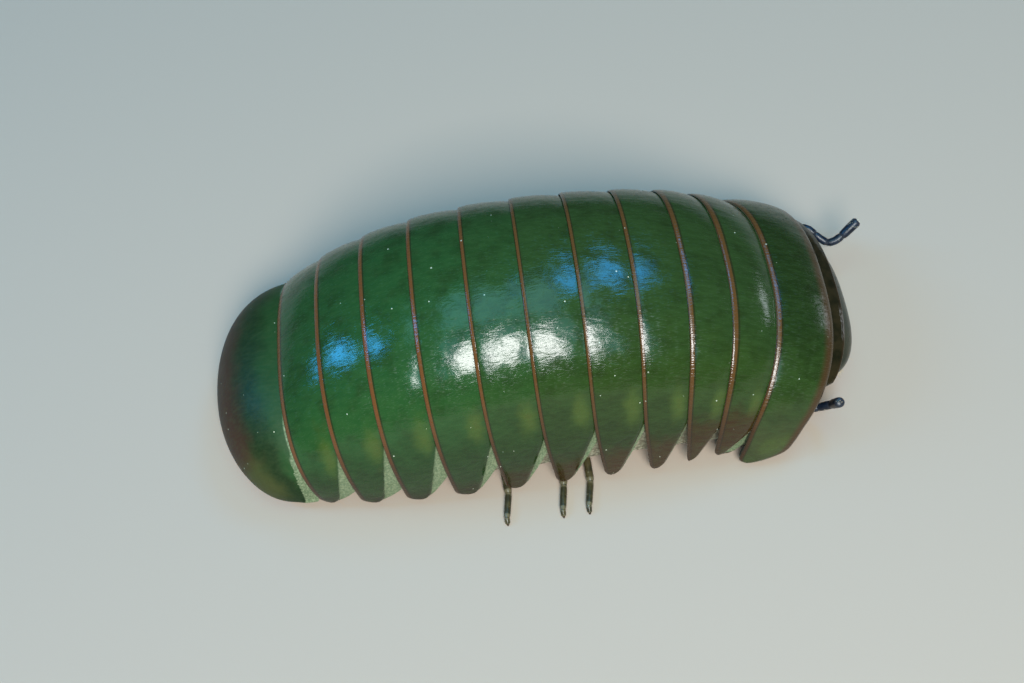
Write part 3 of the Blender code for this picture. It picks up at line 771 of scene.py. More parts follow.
def rear_shield_material():
    look = Look("rear_shield_skin")
    rise, swing, edge, inner = map(look.attribute, ("rise", "swing", "rim", "inner"))
    ragged = look.ragged(0.4, 5.0, 0.5)
    turned = look.plus(swing, look.times(ragged, 0.45))
    height = look.plus(rise, look.times(ragged, 4.0))
    green = look.mix(look.above(height, 5.0, 9.0), (0.013, 0.05, 0.011), (0.01, 0.036, 0.007))
    green = look.mix(look.above(turned, 0.05, 0.22), green, (0.006, 0.018, 0.003))
    rear = look.mix(look.above(height, 7.2, 9.4), (0.036, 0.042, 0.009), (0.033, 0.014, 0.006))
    colour = look.mix(look.above(turned, 0.24, 0.46), green, rear)
    colour = look.mix(look.above(height, 5.0, 2.0), colour, (0.003, 0.016, 0.002))
    field = look.above(look.plus(look.attribute("field"), look.times(ragged, 0.4)), 0.4, 0.75)
    colour = with_field(look, colour, field)[0]
    wrinkle = wrinkled(look, 1.5, 3.2)
    # Painted sheen on the wrinkle crests, as on the green shell
    colour = look.layered(
        with_crest_sheen(look, colour, wrinkle, 0.3, (0.05, 0.07, 0.025)),
        (look.above(edge, 0.4, 0.3), 1.0, (0.16, 0.06, 0.028)),
        # Pale specks: partly grains on the shell, partly painted glints
        (specked(look, 1.5, 0.14, 0.18), 0.7, (0.5, 0.5, 0.34)),
        (inner, 1.0, INNER_FACE),
    )
    look.give("Base Color", colour)
    rough = look.plus(look.times(look.cloud(0.9), 0.15), 0.44)
    look.give("Roughness", look.plus(rough, look.times(field, 0.35)))
    look.bump(wrinkle["Height"], 0.25, 0.00012)
    look.give("IOR", 1.3)
    return look.material


def rear_shield_section(angle):
    """The outline of the dome, from its front edge down to its margin and back on the inside."""
    rise = rise_at_angle(LAST_RIM, angle)
    reach = 2.6 + 1.47 * rise
    begin = -0.045 + 0.16 * (1 - min(rise, 1.4) / 1.4) ** 2
    row = []

    def put(swing, wall, inner):
        sunken = ease((0.04 + 1.9 * (1 - rise / 8.0) / reach - swing) * reach / 0.4)
        depth = 0.25 * max(0.0, 1 - max(swing, 0.0) / 0.65) ** 1.5 + 3.0 * max(0.0, -swing)
        depth += 0.2 * ease((swing - 0.955) / 0.045) ** 2 + 0.05 * bump_at(swing, 0.955, 0.008)
        depth += 0.2 * sunken * ease(rise / 0.9) * ease((7.0 - rise) / 3.5) + wall
        edge = (1 - swing) * SWING_MM
        values = {"rim": edge, "rise": rise, "swing": swing, "inner": inner, "field": sunken}
        row.append((arch_point(LAST_RIM + swing, angle, depth), swing * SWING_MM, values))

    for i in range(ANAL_ROWS + 1):
        put(begin + (1 - begin) * (i / ANAL_ROWS) ** 0.9, 0.0, 0.0)
    for i in range(ANAL_INNER_ROWS + 1):
        share = i / ANAL_INNER_ROWS
        put(1.0 - (1 - begin) * share, 0.4 + 0.3 * math.sin(math.pi * share), 1.0)
    return row


rear_shield = arched_band("anal_shield_skin", LAST_RIM + 0.4, rear_shield_section)
keep(rear_shield, rear_shield_material(), "green_shell", "anal_shield")
print("rear shield faces:", len(rear_shield.data.polygons))

# %% [markdown]
# ## The collum
# A narrow crescent closes the gap between head and neck shield. It is a short band with pointed ends,
# dark olive and as glossy as the plates.
# %% Collum
COLLUM_HALF = 12.2
COLLUM_COLUMNS = 64
COLLUM_INSET = 0.9
# How far ahead, as a share of the width, and how deep each point of the cut lies
COLLUM_CUT = (
    (0.0, 0.06), (0.03, 0.0), (0.15, 0.0), (0.3, -0.03), (0.5, -0.05), (0.7, -0.02),
    (0.82, 0.0), (0.88, 0.05), (0.93, 0.04), (0.97, 0.1), (1.0, 0.22), (1.0, 0.4),
    (0.9, 0.5), (0.5, 0.55), (0.1, 0.52), (0.0, 0.4),
)


def collum_section(y):
    """The cut of the collum at this far to the left of the middle."""
    fullness = max(0.12, (1 - (y / COLLUM_HALF) ** 2) ** 0.2)
    row = []
    for ahead, depth in COLLUM_CUT:
        station = 0.92 + (0.28 - 0.76 * ahead) * fullness
        inset = COLLUM_INSET + depth
        angle = math.acos(-signed_power(y / (arch(station)[2] - inset), ARCH_POWER / 2))
        row.append((arch_point(station, angle, inset), ahead * 4, {"ahead": ahead}))
    return row


lefts = [COLLUM_HALF * (2 * i / COLLUM_COLUMNS - 1) for i in range(COLLUM_COLUMNS + 1)]
collum = closed_band("collum_skin", [collum_section(y) for y in lefts], lefts)

look = Look("collum_skin", 0.1)
colour = look.clouded(0.6, 0.35, 0.65, (0.006, 0.006, 0.002), (0.018, 0.013, 0.005))
margin = look.above(look.attribute("ahead"), 0.84, 0.9)
look.give("Base Color", look.layered(colour, (margin, 0.5, (0.03, 0.016, 0.007))))
look.bump(wrinkled(look, 1.0, 3.0)["Height"], 0.35, 0.0001)
keep(collum, look.material, "green_shell", "collum")
print("collum faces:", len(collum.data.polygons))

# %% [markdown]
# ## The soft body
# Under the plates the body is one soft skin, pale grey-green and folded where it bends: a fold at every
# plate above, and one at every leg pair below. One skin is lofted along the body in fine steps, and the
# folds are pressed in by a sine wave along it.
# %% Soft body
LEG_PITCH = 2.55
FIRST_LEG_X = FRONT_BASE_X - 2.2
FLANK_RISE = 1.6
SKIN_DEPTH = 1.85
TRUNK_FRONT = 1.3
TRUNK_REAR = LAST_RIM + 0.5
TRUNK_STEPS = 110
TRUNK_ARCH_STEPS = 28


def trunk_outline(station):
    """The cut of the body: the arch under the plates, two flanks and a hollow belly."""
    x, lean, half_width, height = arch(station)[:4]
    power = 2 / arch_power(station)
    start = angle_at_rise(station, FLANK_RISE)
    flank = half_width - SKIN_DEPTH
    fold = 0.16 * abs(math.sin(math.pi * station))
    belly_fold = 0.2 * math.cos(2 * math.pi * (x - FIRST_LEG_X) / LEG_PITCH)
    outline = []
    for i in range(TRUNK_ARCH_STEPS + 1):
        angle = start + (math.pi - 2 * start) * i / TRUNK_ARCH_STEPS
        y = -signed_power(math.cos(angle), power) * (flank - fold)
        outline.append((y, math.sin(angle) ** power * (height - SKIN_DEPTH - fold)))
    wall = flank - 1.1
    below = [(flank - 0.25, 1.1), (flank - 0.5, 0.9), (flank - 0.8, 1.0), (wall, 1.3 + 0.4 * belly_fold)]
    for share in (0.2, 0.4, 0.6, 0.8, 1.0):
        below.append((wall - 0.9 * share + 0.5 * belly_fold, 1.3 + 3.5 * share))
    below += [(wall - 1.5, 5.4), (wall - 2.4, 5.8 + belly_fold)]
    for share in (0.25, 0.5, 0.75, 1.0):
        below.append((wall - 2.4 + (3.4 - wall + 2.4) * share, 5.8 + belly_fold * (1 - 0.5 * share)))
    below += [(2.8, 5.2), (2.2, 4.6), (1.2, 4.5 + 0.4 * belly_fold), (0.0, 4.5 + 0.4 * belly_fold)]
    outline += below + [(-y, up) for y, up in reversed(below[:-1])]
    return [Vector((x + up * math.sin(lean), y, HEM + up * math.cos(lean))) for y, up in outline]


outlines = [trunk_outline(TRUNK_FRONT + (TRUNK_REAR - TRUNK_FRONT) * i / TRUNK_STEPS)
            for i in range(TRUNK_STEPS + 1)]
around = len(outlines[0])
body_skin, cells = new_grid("body_skin", TRUNK_STEPS, around)
place(body_skin, [outlines[column][row % around] for column, row in cells])
close_up(body_skin)

look = Look("belly_skin_folds", 0.5)
grains = look.add("TexVoronoi", ("Vector", look.place), ("Scale", 3.0)).outputs["Distance"]
colour = look.clouded(0.7, 0.35, 0.7, (0.2, 0.2, 0.13), (0.33, 0.31, 0.22))
look.give("Base Color", look.mix(look.above(grains, 0.35, 0.7), colour, (0.12, 0.11, 0.07)))
look.bump(grains, 0.6, 0.0001, invert=True)
keep(body_skin, look.material, "belly_skin", "trunk")
print("soft body faces:", len(body_skin.data.polygons))

# %% [markdown]
# ## The lines of the legs
# Twenty-one pairs of legs step in a wave that runs along the body. Most are tucked under the plates, and
# a few reach out. The lines are the same as those of the solids. Posing an armature would give them too,
# but a formula sets all 42 legs at once.
# %% Leg lines
LEG_PAIRS = 21
# Side and number of each leg that reaches out, with the places ahead where it crosses the hem and lands
STRETCHED = {
    (-1, 7): (0.2, -0.4),
    (-1, 8): (-0.3, -0.8),
    (-1, 11): (1.0, 0.5),
    (1, 6): (0.2, -0.4),
    (1, 9): (0.6, 0.1),
    (1, 14): (0.9, 0.4),
}
TUCKED_RADII = (0.74, 0.72, 0.66, 0.58, 0.5, 0.4, 0.26)
STRETCHED_RADII = (0.74, 0.72, 0.66, 0.58, 0.48, 0.43, 0.34, 0.26)


def leg_station(x):
    """The body station whose belly ridge lies at this x."""
    low, high = 1.3, LAST_RIM + 0.4
    for _ in range(40):
        middle = (low + high) / 2
        base, lean = arch(middle)[:2]
        if base + 4.99 * math.sin(lean) > x:
            low = middle
        else:
            high = middle
    return low


def leg_size(pair):
    """The first and the last legs are smaller."""
    return 1 - 0.12 * max(0, 3 - pair) - 0.07 * max(0, pair - 17)


def leg_line(pair, side):
    """Centre points and radii of one leg from its hip to its foot."""
    x = FIRST_LEG_X - LEG_PITCH * pair
    hip_z = HEM + 4.99 * math.cos(arch(leg_station(x))[1])
    size = leg_size(pair)
    if (side, pair) in STRETCHED:
        crossing, landing = STRETCHED[side, pair]
        radii = STRETCHED_RADII
        bends = (
            (0.2 * crossing, 6.6, 4.4),
            (0.5 * crossing, 10.2, 3.2),
            (0.8 * crossing, 13.2, 1.15),
            (crossing, 16.2, 0.62),
            (landing, 19.2, 0.55),
            (landing, 20.0, 0.0),
        )
    else:
        wave = 2 * math.pi * pair / 7.0 + (0.0 if side > 0 else 0.6)
        ahead = 1.1 * math.sin(wave)
        lift = 1.3 * max(0.0, math.cos(wave) - 0.55)
        reach = 11.4 * (0.5 + 0.5 * size)
        radii = TUCKED_RADII
        bends = (
            (0.2 * ahead, 6.2, hip_z - 1.0),
            (0.6 * ahead, reach - 2.0, 4.9 + 0.3 * lift),
            (0.85 * ahead, reach - 0.5, 3.2 + 0.5 * lift),
            (ahead, reach - 0.1, 1.3 + lift),
            (ahead, reach, lift),
        )
    line = ((0.0, 3.01, hip_z), (0.0, 3.81, hip_z - 0.9)) + bends
    return [(Vector((x + along, side * y, z)), radius * size)
            for (along, y, z), radius in zip(line, radii)]


print("foot of leg 8, right, mm:", [round(v, 2) for v in leg_line(7, -1)[-1][0]])

# %% [markdown]
# ## Legs
# A leg is a row of short joints with a curved claw at its end. One tapered tube swells at the end of every
# joint, and each of the legs is laid along its own line. A bevelled curve makes a tube faster, but can't
# store where each point lies on its joint. The claws are pieces of horn, so they get a skin of their own.
# %% Legs
LEG_ROUND = 10
CLAW_ROUND = 8
SIDES = ((1, "left"), (-1, "right"))
# Places on a joint and the girth there, as shares
JOINT_SHAPE = ((0.0, 0.8), (0.08, 0.9), (0.25, 0.97), (0.55, 1.0), (0.82, 1.06), (0.94, 1.02), (1.0, 0.84))
CLAW_SHARES = (0.0, 0.2, 0.45, 0.7, 0.88, 1.0)


def jointed(centres):
    """A finer line with a swelling per joint: centre, radius and place on the joint of every ring."""
    line = []
    for (start, thick), (end, thin) in zip(centres, centres[1:]):
        for share, girth in JOINT_SHAPE:
            centre = start.lerp(end, 0.02 + 0.96 * share)
            line.append((centre, (thick + (thin - thick) * share) * girth, share))
    return line


def tube_piece(name, line, around):
    """A closed tube made from a grid. Its rings are carried along the line so that none is twisted."""
    rings = []
    turns = [2 * math.pi * i / around for i in range(around)]
    aside = Vector((1.0, 0.0, 0.0))
    for i, (centre, radius, mark) in enumerate(line):
        direction = (line[min(i + 1, len(line) - 1)][0] - line[max(i - 1, 0)][0]).normalized()
        aside = (aside - direction * aside.dot(direction)).normalized()
        over = direction.cross(aside)
        rings.append([centre + radius * (math.cos(turn) * aside + math.sin(turn) * over) for turn in turns])
    piece, cells = new_grid(name, around, len(line) - 1)
    points = [rings[row][column % around] for column, row in cells]
    place(piece, [(point.x, point.y, max(point.z, 0.0)) for point in points])
    store(piece, "joint", [line[row][2] for column, row in cells])
    close_up(piece, 60)
    return piece


legs, claws = [], []
for pair in range(LEG_PAIRS):
    for side, word in SIDES:
        centres = leg_line(pair, side)
        last = centres[-1][0] - centres[-2][0]
        ankle, radius = centres[-2][0] + 0.7 * last, centres[-1][1]
        line = jointed(centres[:-1] + [(ankle, radius)])
        piece = tube_piece(f"leg_{pair + 1:02d}_{word}_skin", line, LEG_ROUND)
        legs.append((pair, side, word, line, piece))
        hook = [(ankle + last * (0.3 * share - 0.06) + Vector((0.0, 0.0, -0.2 * share ** 2)),
                 radius * 0.8 * (1 - share) ** 0.8 + 0.02, 0.5) for share in CLAW_SHARES]
        claws.append(tube_piece("claw", hook, CLAW_ROUND))
print("legs:", len(legs), "faces each:", len(piece.data.polygons))

# %% [markdown]
# ## The finish of the limbs
# Legs and antennae are dark and shiny, with a paler ring at each joint, so one function makes both
# materials. It reads where each point lies on its joint. The claws use it too, with the colours of horn.
# %% Limb material
def limb_material(name, roughness, dark, light, ring):
    look = Look(name, roughness)
    joint = look.attribute("joint")
    colour = look.layered(
        look.clouded(1.2, 0.4, 0.65, dark, light),
        (look.plus(look.above(joint, 0.84, 0.9), look.above(joint, 0.11, 0.05)), 0.7, ring),
        (specked(look, 4.0, 0.18, 0.35), 0.5, (0.4, 0.38, 0.26)),
    )
    look.give("Base Color", colour)
    look.bump(look.cloud(6.0), 0.4, 0.00005)
    look.give("IOR", 1.38)
    return look.material


def joined(name, pieces):
    """Make one piece of several."""
    only(*pieces)
    bpy.ops.object.transform_apply()
    bpy.ops.object.join()
    pieces[0].name = name
    return pieces[0]


LEG_COLOURS = ((0.022, 0.02, 0.01), (0.05, 0.04, 0.016), (0.12, 0.1, 0.055))
CLAW_COLOURS = ((0.012, 0.007, 0.003), (0.04, 0.018, 0.007), (0.03, 0.015, 0.006))
limb_skin = limb_material("dark_limb_skin", 0.3, *LEG_COLOURS)
first_pair = [piece for *_, piece in legs[:2]]
keep(joined("leg_01_pair_skin", first_pair), limb_skin, "dark_limb", "leg_01_pair")
for pair, side, word, line, piece in legs[2:]:
    keep(piece, limb_skin, "dark_limb", f"leg_{pair + 1:02d}_{word}")
claw_horn = limb_material("claw_horn_skin", 0.2, *CLAW_COLOURS)
keep(joined("claws", claws), claw_horn, "dark_limb")
print("leg pieces:", len(legs) - 1, "claws:", len(claws))

# %% [markdown]
# ## Belly plates
# Beside every hip lies a small oval plate that holds the breathing hole. It is a flattened ball with its
# middle pushed in, modelled once and copied along the belly.
# %% Belly plates
def copy_at(piece, matrix):
    """A copy of a piece, with a mesh of its own, moved by a matrix."""
    copy = piece.copy()
    copy.data = piece.data.copy()
    bpy.context.collection.objects.link(copy)
    copy.matrix_world = matrix
    return copy


def dented_oval(spot):
    dent = 0.22 * bump_at(math.hypot(spot.x * 3, spot.y * 1.4), 0.0, 0.7)
    return spot.x * 1.05, spot.y * 1.35, spot.z * (0.34 - dent)


bpy.ops.mesh.primitive_uv_sphere_add(segments=24, ring_count=14, radius=1)
oval = named("belly_plate", dented_oval)
store(oval, "joint", [0.5] * len(oval.data.vertices))
plates = []
for pair in range(1, LEG_PAIRS):
    x = FIRST_LEG_X - LEG_PITCH * pair
    lean = arch(leg_station(x))[1]
    turned = Matrix.Rotation(lean, 4, "Y") @ Matrix.Scale(1 - 0.07 * max(0, pair - 17), 4)
    for side in (1, -1):
        middle = Vector((x - 0.5, side * 5.1, HEM + 5.75 * math.cos(lean)))
        plates.append(copy_at(oval, Matrix.Translation(middle * MM) @ turned))
belly_plates = joined("belly_plates", plates)
bpy.ops.object.shade_smooth()
keep(belly_plates, limb_skin, "dark_limb")
bpy.data.objects.remove(oval)
print("belly plates:", len(plates))

# %% [markdown]
# ## The head
# The head hangs down in front, under the collum. It is a rounded capsule with swollen cheeks and an upper
# lip. Joining balls and remeshing them gives one skin with soft valleys, which a single stretched ball
# can't have.
# %% Head capsule
HEAD_CENTRE = Vector((FRONT_BASE_X + 7.65, 0.0, HEM + 4.1))
HEAD_LEAN = math.radians(37)
HEAD_SIZE = Vector((4.9, 9.5, 4.1))
HEAD_POWER = 2.6
FACING = Vector((math.cos(HEAD_LEAN), 0.0, -math.sin(HEAD_LEAN)))
LEFT = Vector((0.0, 1.0, 0.0))
CROWN = Vector((math.sin(HEAD_LEAN), 0.0, math.cos(HEAD_LEAN)))
# Offset from the middle of the head and half sizes, in mm
SWELLINGS = (
    ("lip", (2.2, 0.0, -2.5), (1.5, 3.2, 1.1)),
    ("chin", (-2.6, 0.0, -2.6), (1.2, 4.4, 2.2)),
    ("cheek", (-1.2, 6.0, -1.9), (2.4, 2.2, 2.4)),
    ("cheek", (-1.2, -6.0, -1.9), (2.4, 2.2, 2.4)),
)
HEAD_VOXEL = 0.26


def plump(direction):
    """Where a direction meets a ball whose corners are filled out."""
    total = sum(abs(share) ** HEAD_POWER for share in direction)
    return direction / total ** (1 / HEAD_POWER)


def on_head(spot, side):
    """A point of the head's surface and the way out there."""
    place = plump(Vector((spot[0], side * spot[1], spot[2])))
    point = HEAD_CENTRE.copy()
    outward = Vector((0.0, 0.0, 0.0))
    for axis, share, size in zip((FACING, LEFT, CROWN), place, HEAD_SIZE):
        point += axis * share * size
        outward += axis * signed_power(share, HEAD_POWER - 1) / size
    return point, outward.normalized()


def head_ball(name, centre, sizes, full=False, segments=32, rings=18):
    """A ball on the head's own axes, plain or plump."""
    def form(spot):
        shares = Vector((spot.z, spot.x, spot.y))
        shares = plump(shares) if full else shares
        point = centre + FACING * shares.x * sizes[0] + LEFT * shares.y * sizes[1]
        return point + CROWN * shares.z * sizes[2]

    bpy.ops.mesh.primitive_uv_sphere_add(segments=segments, ring_count=rings, radius=1)
    return named(name, form)


parts = [head_ball("head_skin", HEAD_CENTRE, HEAD_SIZE, True, 48, 32)]
parts += [head_ball(name, HEAD_CENTRE + Vector(offset), sizes) for name, offset, sizes in SWELLINGS]
head = joined("head_skin", parts)
head.data.remesh_voxel_size = HEAD_VOXEL * MM
bpy.ops.object.voxel_remesh()
smooth = head.modifiers.new("soften", "SMOOTH")
smooth.factor = 0.5
smooth.iterations = 6
bpy.ops.object.modifier_apply(modifier=smooth.name)
bpy.ops.object.shade_smooth()
print("head faces:", len(head.data.polygons))

# %% [markdown]
# ## The finish of the head
# The face is nearly black, with an olive cloud and many fine pits. A cell pattern gives the pits: the
# middle of each cell is low, and the bump turns that into a small dent.
# %% Head material
look = Look("head_shell_skin", 0.24)
look.give("Base Color", look.clouded(0.35, 0.4, 0.65, (0.005, 0.009, 0.003), (0.018, 0.018, 0.007)))
pits = look.add("TexVoronoi", ("Vector", look.place), ("Scale", 2.6)).outputs["Distance"]
look.bump(look.above(pits, 0.12, 0.3), 0.6, 0.0001)
look.give("IOR", 1.4)
head_shell = look.material
keep(head, head_shell, "head_shell", "head")
print("head done")

# %% [markdown]
# ## Mouth parts and antenna sockets
# Under the face hangs a toothed upper lip, and behind the mouth lies a flat chin made of several lobes.
# They are pressed balls and cones, set out on the head's own axes. A ring stands round the root of each
# antenna.
# %% Mouth parts
# Place on the head's axes and half sizes of the lobes that come in pairs, in mm
PAIRED_LOBES = (
    ((-0.1, 2.4, -4.95), (1.75, 1.35, 0.75)),
    ((1.25, 0.8, -4.75), (0.95, 0.7, 0.5)),
    ((1.9, 0.5, -4.35), (0.45, 0.3, 0.3)),
    ((1.8, 2.2, -4.3), (0.5, 0.42, 0.4)),
    ((2.5, 1.4, -3.2), (0.8, 0.95, 0.9)),
)
ANTENNA_PIT = (0.05, 0.97, -0.02)


def on_axes(facing, left, crown):
    """A place counted along the head's own axes, in millimetres."""
    return HEAD_CENTRE + FACING * facing + LEFT * left + CROWN * crown


lobes = [
    head_ball("mouth_parts", on_axes(3.55, 0.0, -1.75), (0.85, 2.3, 0.6)),
    head_ball("lobe", on_axes(-0.7, 0.0, -5.2), (1.5, 1.35, 0.75)),
]
for side in (1, -1):
    for (facing, left, crown), sizes in PAIRED_LOBES:
        lobes.append(head_ball("lobe", on_axes(facing, left * side, crown), sizes))
for left in (-0.55, 0.0, 0.55):
    middle = on_axes(3.75, left, -2.45)
    bpy.ops.mesh.primitive_cone_add(vertices=12, radius1=0.3, radius2=0.03, depth=0.8)
    lobes.append(named("tooth", lambda spot: middle + FACING * spot.x + LEFT * spot.y - CROWN * spot.z))
mouth = joined("mouth_parts", lobes)
bpy.ops.object.shade_smooth_by_angle(angle=math.radians(50))
keep(mouth, head_shell, "head_shell")

ring = {"major_segments": 28, "minor_segments": 12, "major_radius": 0.66, "minor_radius": 0.17}
rings = []
for side in (1, -1):
    root, outward = on_head(ANTENNA_PIT, side)
    turn = outward.to_track_quat("Z", "Y")
    bpy.ops.mesh.primitive_torus_add(**ring)
    rings.append(named("antenna_sockets", lambda spot: root + outward * 0.12 + turn @ spot))
sockets = joined("antenna_sockets", rings)
bpy.ops.object.shade_smooth()
keep(sockets, head_shell, "head_shell")
print("mouth pieces:", len(lobes), "sockets:", len(rings))

# %% [markdown]
# ## Eyes
# Each eye is a low dome packed with small round lenses. The lenses are set out in rings on the dome, as
# one small ball that is added at every place.
# %% Eyes
EYE_PLACE = (0.0, 0.84, 0.6)
EYE_SIZE = (1.0, 0.45, 0.85)
LENS_RINGS = (1, 6, 12, 18, 24)
LENS_RADIUS = 0.105


def eye_piece(side, word):
    point, outward = on_head(EYE_PLACE, side)
    along = (Vector((0.0, 0.0, 1.0)) - outward * outward.z).normalized()
    third = along.cross(outward)

    def on_eye(spot):
        """A place on the dome from the place on a round ball."""
        lifted = point + along * spot.x * EYE_SIZE[0] + outward * spot.z * EYE_SIZE[1]
        return lifted + third * spot.y * EYE_SIZE[2]

    bpy.ops.mesh.primitive_uv_sphere_add(segments=32, ring_count=20, radius=1)
    parts = [named(f"eye_{word}_skin", on_eye)]
    for ring, count in enumerate(LENS_RINGS):
        for i in range(count):
            turn = 2 * math.pi * (i + 0.5 * (ring % 2)) / count
            u, v = 0.2 * ring * math.cos(turn), 0.2 * ring * math.sin(turn)
            centre = on_eye(Vector((u, v, math.sqrt(max(0.0, 1 - u * u - v * v)))))
            bpy.ops.mesh.primitive_ico_sphere_add(subdivisions=2, radius=LENS_RADIUS)
            parts.append(named("lens", lambda spot: centre + spot))
    eye = joined(f"eye_{word}_skin", parts)
    bpy.ops.object.shade_smooth()
    return eye


look = Look("eye_lens_skin", 0.08)
look.give("Base Color", look.mix(look.cloud(3.0), (0.003, 0.003, 0.004), (0.012, 0.011, 0.012)))
look.give("Coat Weight", 0.6)
look.give("Coat Roughness", 0.08)
for side, word in SIDES:
    keep(eye_piece(side, word), look.material, "eye_lens", f"eye_{word}")
print("eyes done")

# %% [markdown]
# ## Antennae
# Six joints, the last the thickest, blue-black and very shiny. They use the same jointed tube as the
# legs, laid along a smooth curve.
# %% Antennae
ANTENNA_JOINTS = (0.13, 0.15, 0.16, 0.16, 0.17, 0.23)
ANTENNA_GIRTH = (1.05, 0.95, 0.95, 0.98, 1.05, 1.25)
ANTENNA_SHAPE = (
    (0.0, 0.74), (0.06, 0.88), (0.2, 0.96), (0.5, 1.0), (0.8, 1.02), (0.92, 0.98), (0.98, 0.86),
)
ANTENNA_RADIUS = 0.47
# Offsets from the middle of the head, in mm
LEFT_ANTENNA = ((1.1, 11.2, 0.2), (2.9, 10.8, 0.4), (5.5, 9.0, -0.7), (8.9, 10.2, 1.2))
RIGHT_ANTENNA = (
    (-0.9, -11.0, -0.6), (-2.0, -11.2, -1.3), (-2.5, -11.4, -2.2), (-2.0, -11.6, -3.0),
    (-1.0, -11.8, -3.2), (0.1, -12.1, -2.5), (0.8, -12.6, -1.4), (1.1, -13.5, 0.4),
)


def route_points(knots, shares):
    """Points at given shares of the length of a smooth curve through the knots."""
    padded = [2 * knots[0] - knots[1]] + knots + [2 * knots[-1] - knots[-2]]
    fine = []
    for a, b, c, d in zip(padded, padded[1:], padded[2:], padded[3:]):
        for i in range(20):
            t = i / 20
            fine.append(0.5 * (2 * b + (c - a) * t + (2 * a - 5 * b + 4 * c - d) * t * t
                               + (3 * b - a - 3 * c + d) * t ** 3))
    fine.append(knots[-1])
    lengths = [0.0]
    for a, b in zip(fine, fine[1:]):
        lengths.append(lengths[-1] + (b - a).length)
    points = []
    for share in shares:
        target = share * lengths[-1]
        passed = [i for i, length in enumerate(lengths) if length <= target + 1e-9]
        index = min(passed[-1], len(fine) - 2)
        rest = (target - lengths[index]) / (lengths[index + 1] - lengths[index])
        points.append(fine[index].lerp(fine[index + 1], rest))
    return points


ANTENNA_COLOURS = ((0.003, 0.006, 0.012), (0.008, 0.013, 0.024), (0.02, 0.022, 0.028))
antenna_skin = limb_material("antenna_skin", 0.36, *ANTENNA_COLOURS)
antenna_lines = []
for (side, word), offsets in zip(SIDES, (LEFT_ANTENNA, RIGHT_ANTENNA)):
    root, outward = on_head(ANTENNA_PIT, side)
    knots = [root + outward * 0.2] + [HEAD_CENTRE + Vector(offset) for offset in offsets]
    shares, girths, marks = [], [], []
    start = 0.0
    for length, girth in zip(ANTENNA_JOINTS, ANTENNA_GIRTH):
        for share, width in ANTENNA_SHAPE:
            shares.append(start + share * length)
            girths.append(ANTENNA_RADIUS * width * girth)
            marks.append(share)
        start += length
    shares[-1] = 1.0
    girths[-1] *= 0.8
    line = list(zip(route_points(knots, shares), girths, marks))
    antenna_lines.append(line)
    keep(tube_piece(f"antenna_{word}_skin", line, 16), antenna_skin, "dark_limb", f"antenna_{word}")
print("pieces so far:", len(made))

# %% [markdown]
# ## A bristle to copy
# Fine bristles stand on the face, the legs and the antennae. One thin cone is modelled once. Every bristle
# is a copy of it, and the copies are joined. A particle system would be quicker, but its hairs aren't
# solid.
# %% Bristle to copy
SPOT_SIZE = 0.003

bpy.ops.mesh.primitive_cone_add(vertices=5, radius1=1, radius2=0.12, depth=1, location=(0, 0, 0.5))
bpy.ops.object.transform_apply()
needle = named("needle")
needle.data.uv_layers[0].name = "OFBake"


def sow(name, bristles, slot, *colours):
    """Copies of the needle. A bristle is its root, direction, length, radius and place on the unwrap."""
    look = Look(name, 0.35)
    look.give("Base Color", look.clouded(2.0, 0.35, 0.65, *colours))
    copies = []
    for root, direction, length, radius, (u, v) in bristles:
        turn = direction.to_track_quat("Z", "Y").to_matrix().to_4x4()
        size = Matrix.Diagonal((radius * MM, radius * MM, length * MM, 1))
        copies.append(copy_at(needle, Matrix.Translation(root * MM) @ turn @ size))
        for corner in copies[-1].data.uv_layers["OFBake"].uv:
            x, y = corner.vector
            corner.vector = (u + SPOT_SIZE * (x - 0.5), v + SPOT_SIZE * (y - 0.5))
    keep(joined(name, copies), look.material, slot)


print("needle points:", len(needle.data.vertices))

# %% [markdown]
# ## Bristles of the face
# Short golden bristles stand on the lower face and point down and ahead, where they would feel the food.
# Their places are drawn at random on the head, since an even pattern would look like a brush.
# %% Face bristles
FACE_BRISTLES = 330

random.seed(7)
face = []
for i in range(FACE_BRISTLES):
    forward, left, up = random.uniform(0.1, 1.0), random.uniform(-1.0, 1.0), random.uniform(-1.0, 0.15)
    spread = (forward * forward + left * left + up * up) ** 0.5
    root, outward = on_head((forward / spread, left / spread, up / spread), 1)
    aside = Vector((0, random.uniform(-1, 1), 0))
    direction = (outward + 0.5 * FACING - 0.35 * CROWN + 0.15 * aside).normalized()
    length, thickness = random.uniform(0.45, 0.95), random.uniform(0.02, 0.032)
    middle = (0.5 + 0.4 * left / spread, 0.5 + 0.4 * up / spread)
    if root.z + direction.z * length > 0.1:
        face.append((root - outward * 0.15, direction, length, thickness, middle))
sow("head_bristles", face, "head_shell", (0.2, 0.13, 0.05), (0.42, 0.33, 0.17))

print("face bristles:", len(face))

# %% [markdown]
# ## Spines of the legs
# Stiff brown spines line the inner side of every leg, and a few its outer side. They follow the jointed
# line of the leg, so they can't miss it as spines set by hand might.
# %% Leg spines
LEG_SPINES = 22


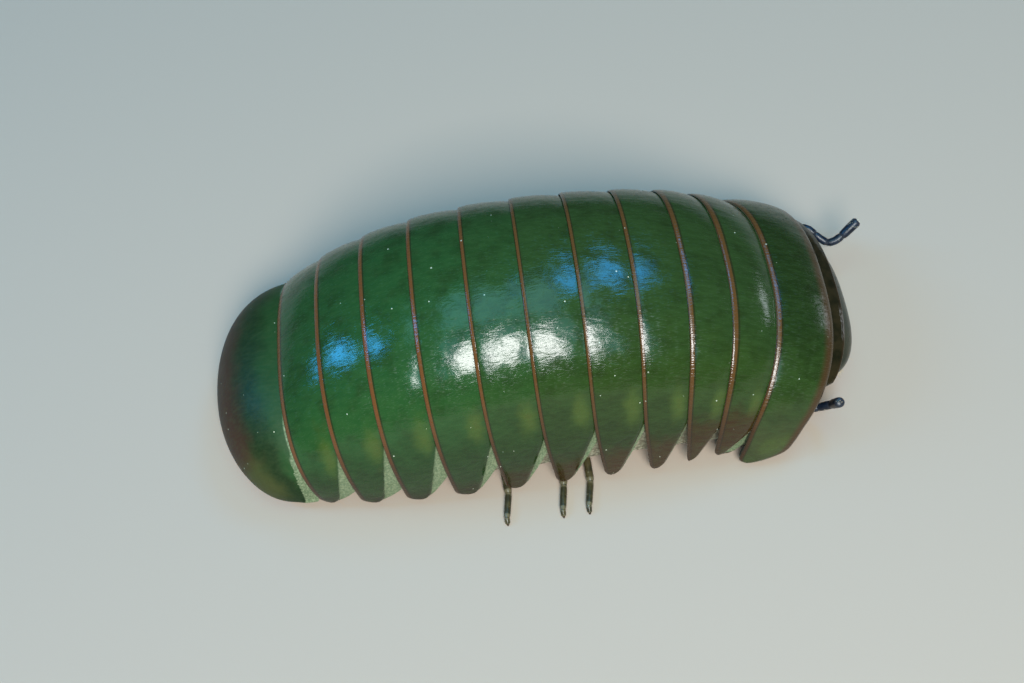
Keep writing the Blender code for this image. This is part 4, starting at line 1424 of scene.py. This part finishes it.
def along_tube(line, share, turn, lean_out):
    """Root and direction of a bristle on a tube, at a share of its rings and a turn round it."""
    index = min(int(share * (len(line) - 1)), len(line) - 2)
    rest = share * (len(line) - 1) - index
    (start, thick), (end, thin) = line[index][:2], line[index + 1][:2]
    centre = start.lerp(end, rest)
    radius = thick + (thin - thick) * rest
    heading = (end - start).normalized()
    inner = Vector((0.0, -1.0 if centre.y > 0 else 1.0, -0.8))
    inner = (inner - heading * inner.dot(heading)).normalized()
    out = inner * math.cos(turn) + heading.cross(inner) * math.sin(turn)
    return centre + out * radius * 0.8, (out * lean_out + heading * (1 - lean_out)).normalized()


spines = []
for pair, side, word, line, piece in legs:
    strip = 0.02 + 0.022 * (2 * pair + (side > 0))
    for i in range(LEG_SPINES):
        share = 0.3 + 0.68 * (i + random.uniform(-0.3, 0.3)) / (LEG_SPINES - 1)
        turn = random.uniform(-0.7, 0.7) + (math.pi if i % 4 == 3 else 0.0)
        root, direction = along_tube(line, min(share, 0.985), turn, 0.7)
        length = random.uniform(0.4, 0.58) * leg_size(pair)
        if min(root.z, root.z + direction.z * length) > 0.06:
            spines.append((root, direction, length, 0.035, (strip, share)))
sow("leg_spines", spines, "dark_limb", (0.08, 0.04, 0.016), (0.2, 0.12, 0.05))

print("spines:", len(spines))

# %% [markdown]
# ## Down and cones of the antennae
# A fine grey down covers the antennae, and each ends in four blunt cones that smell the ground. Both are
# the same needle again, thinner for the down and thicker for the cones.
# %% Antenna down
ANTENNA_DOWN = 130

down, cones = [], []
for number, line in enumerate(antenna_lines):
    for i in range(ANTENNA_DOWN):
        share = random.uniform(0.04, 0.97)
        root, direction = along_tube(line, share, random.uniform(0, 2 * math.pi), 0.6)
        down.append((root, direction, random.uniform(0.2, 0.34), 0.014, (0.1 + 0.5 * number, share)))
    tip, heading = line[-1][0], (line[-1][0] - line[-3][0]).normalized()
    across = heading.orthogonal().normalized()
    for i in range(4):
        out = Matrix.Rotation(math.pi * (0.5 * i + 0.25), 3, heading) @ across
        root, direction = tip + out * 0.17 - heading * 0.05, (heading + out * 0.15).normalized()
        cones.append((root, direction, 0.26, 0.085, (0.4 + 0.5 * number, 0.9)))
sow("antenna_down", down, "dark_limb", (0.012, 0.015, 0.02), (0.045, 0.047, 0.048))
sow("antenna_cones", cones, "dark_limb", (0.2, 0.17, 0.12), (0.34, 0.3, 0.22))
bpy.data.objects.remove(needle)
print("down:", len(down), "cones:", len(cones), "pieces:", len(made))
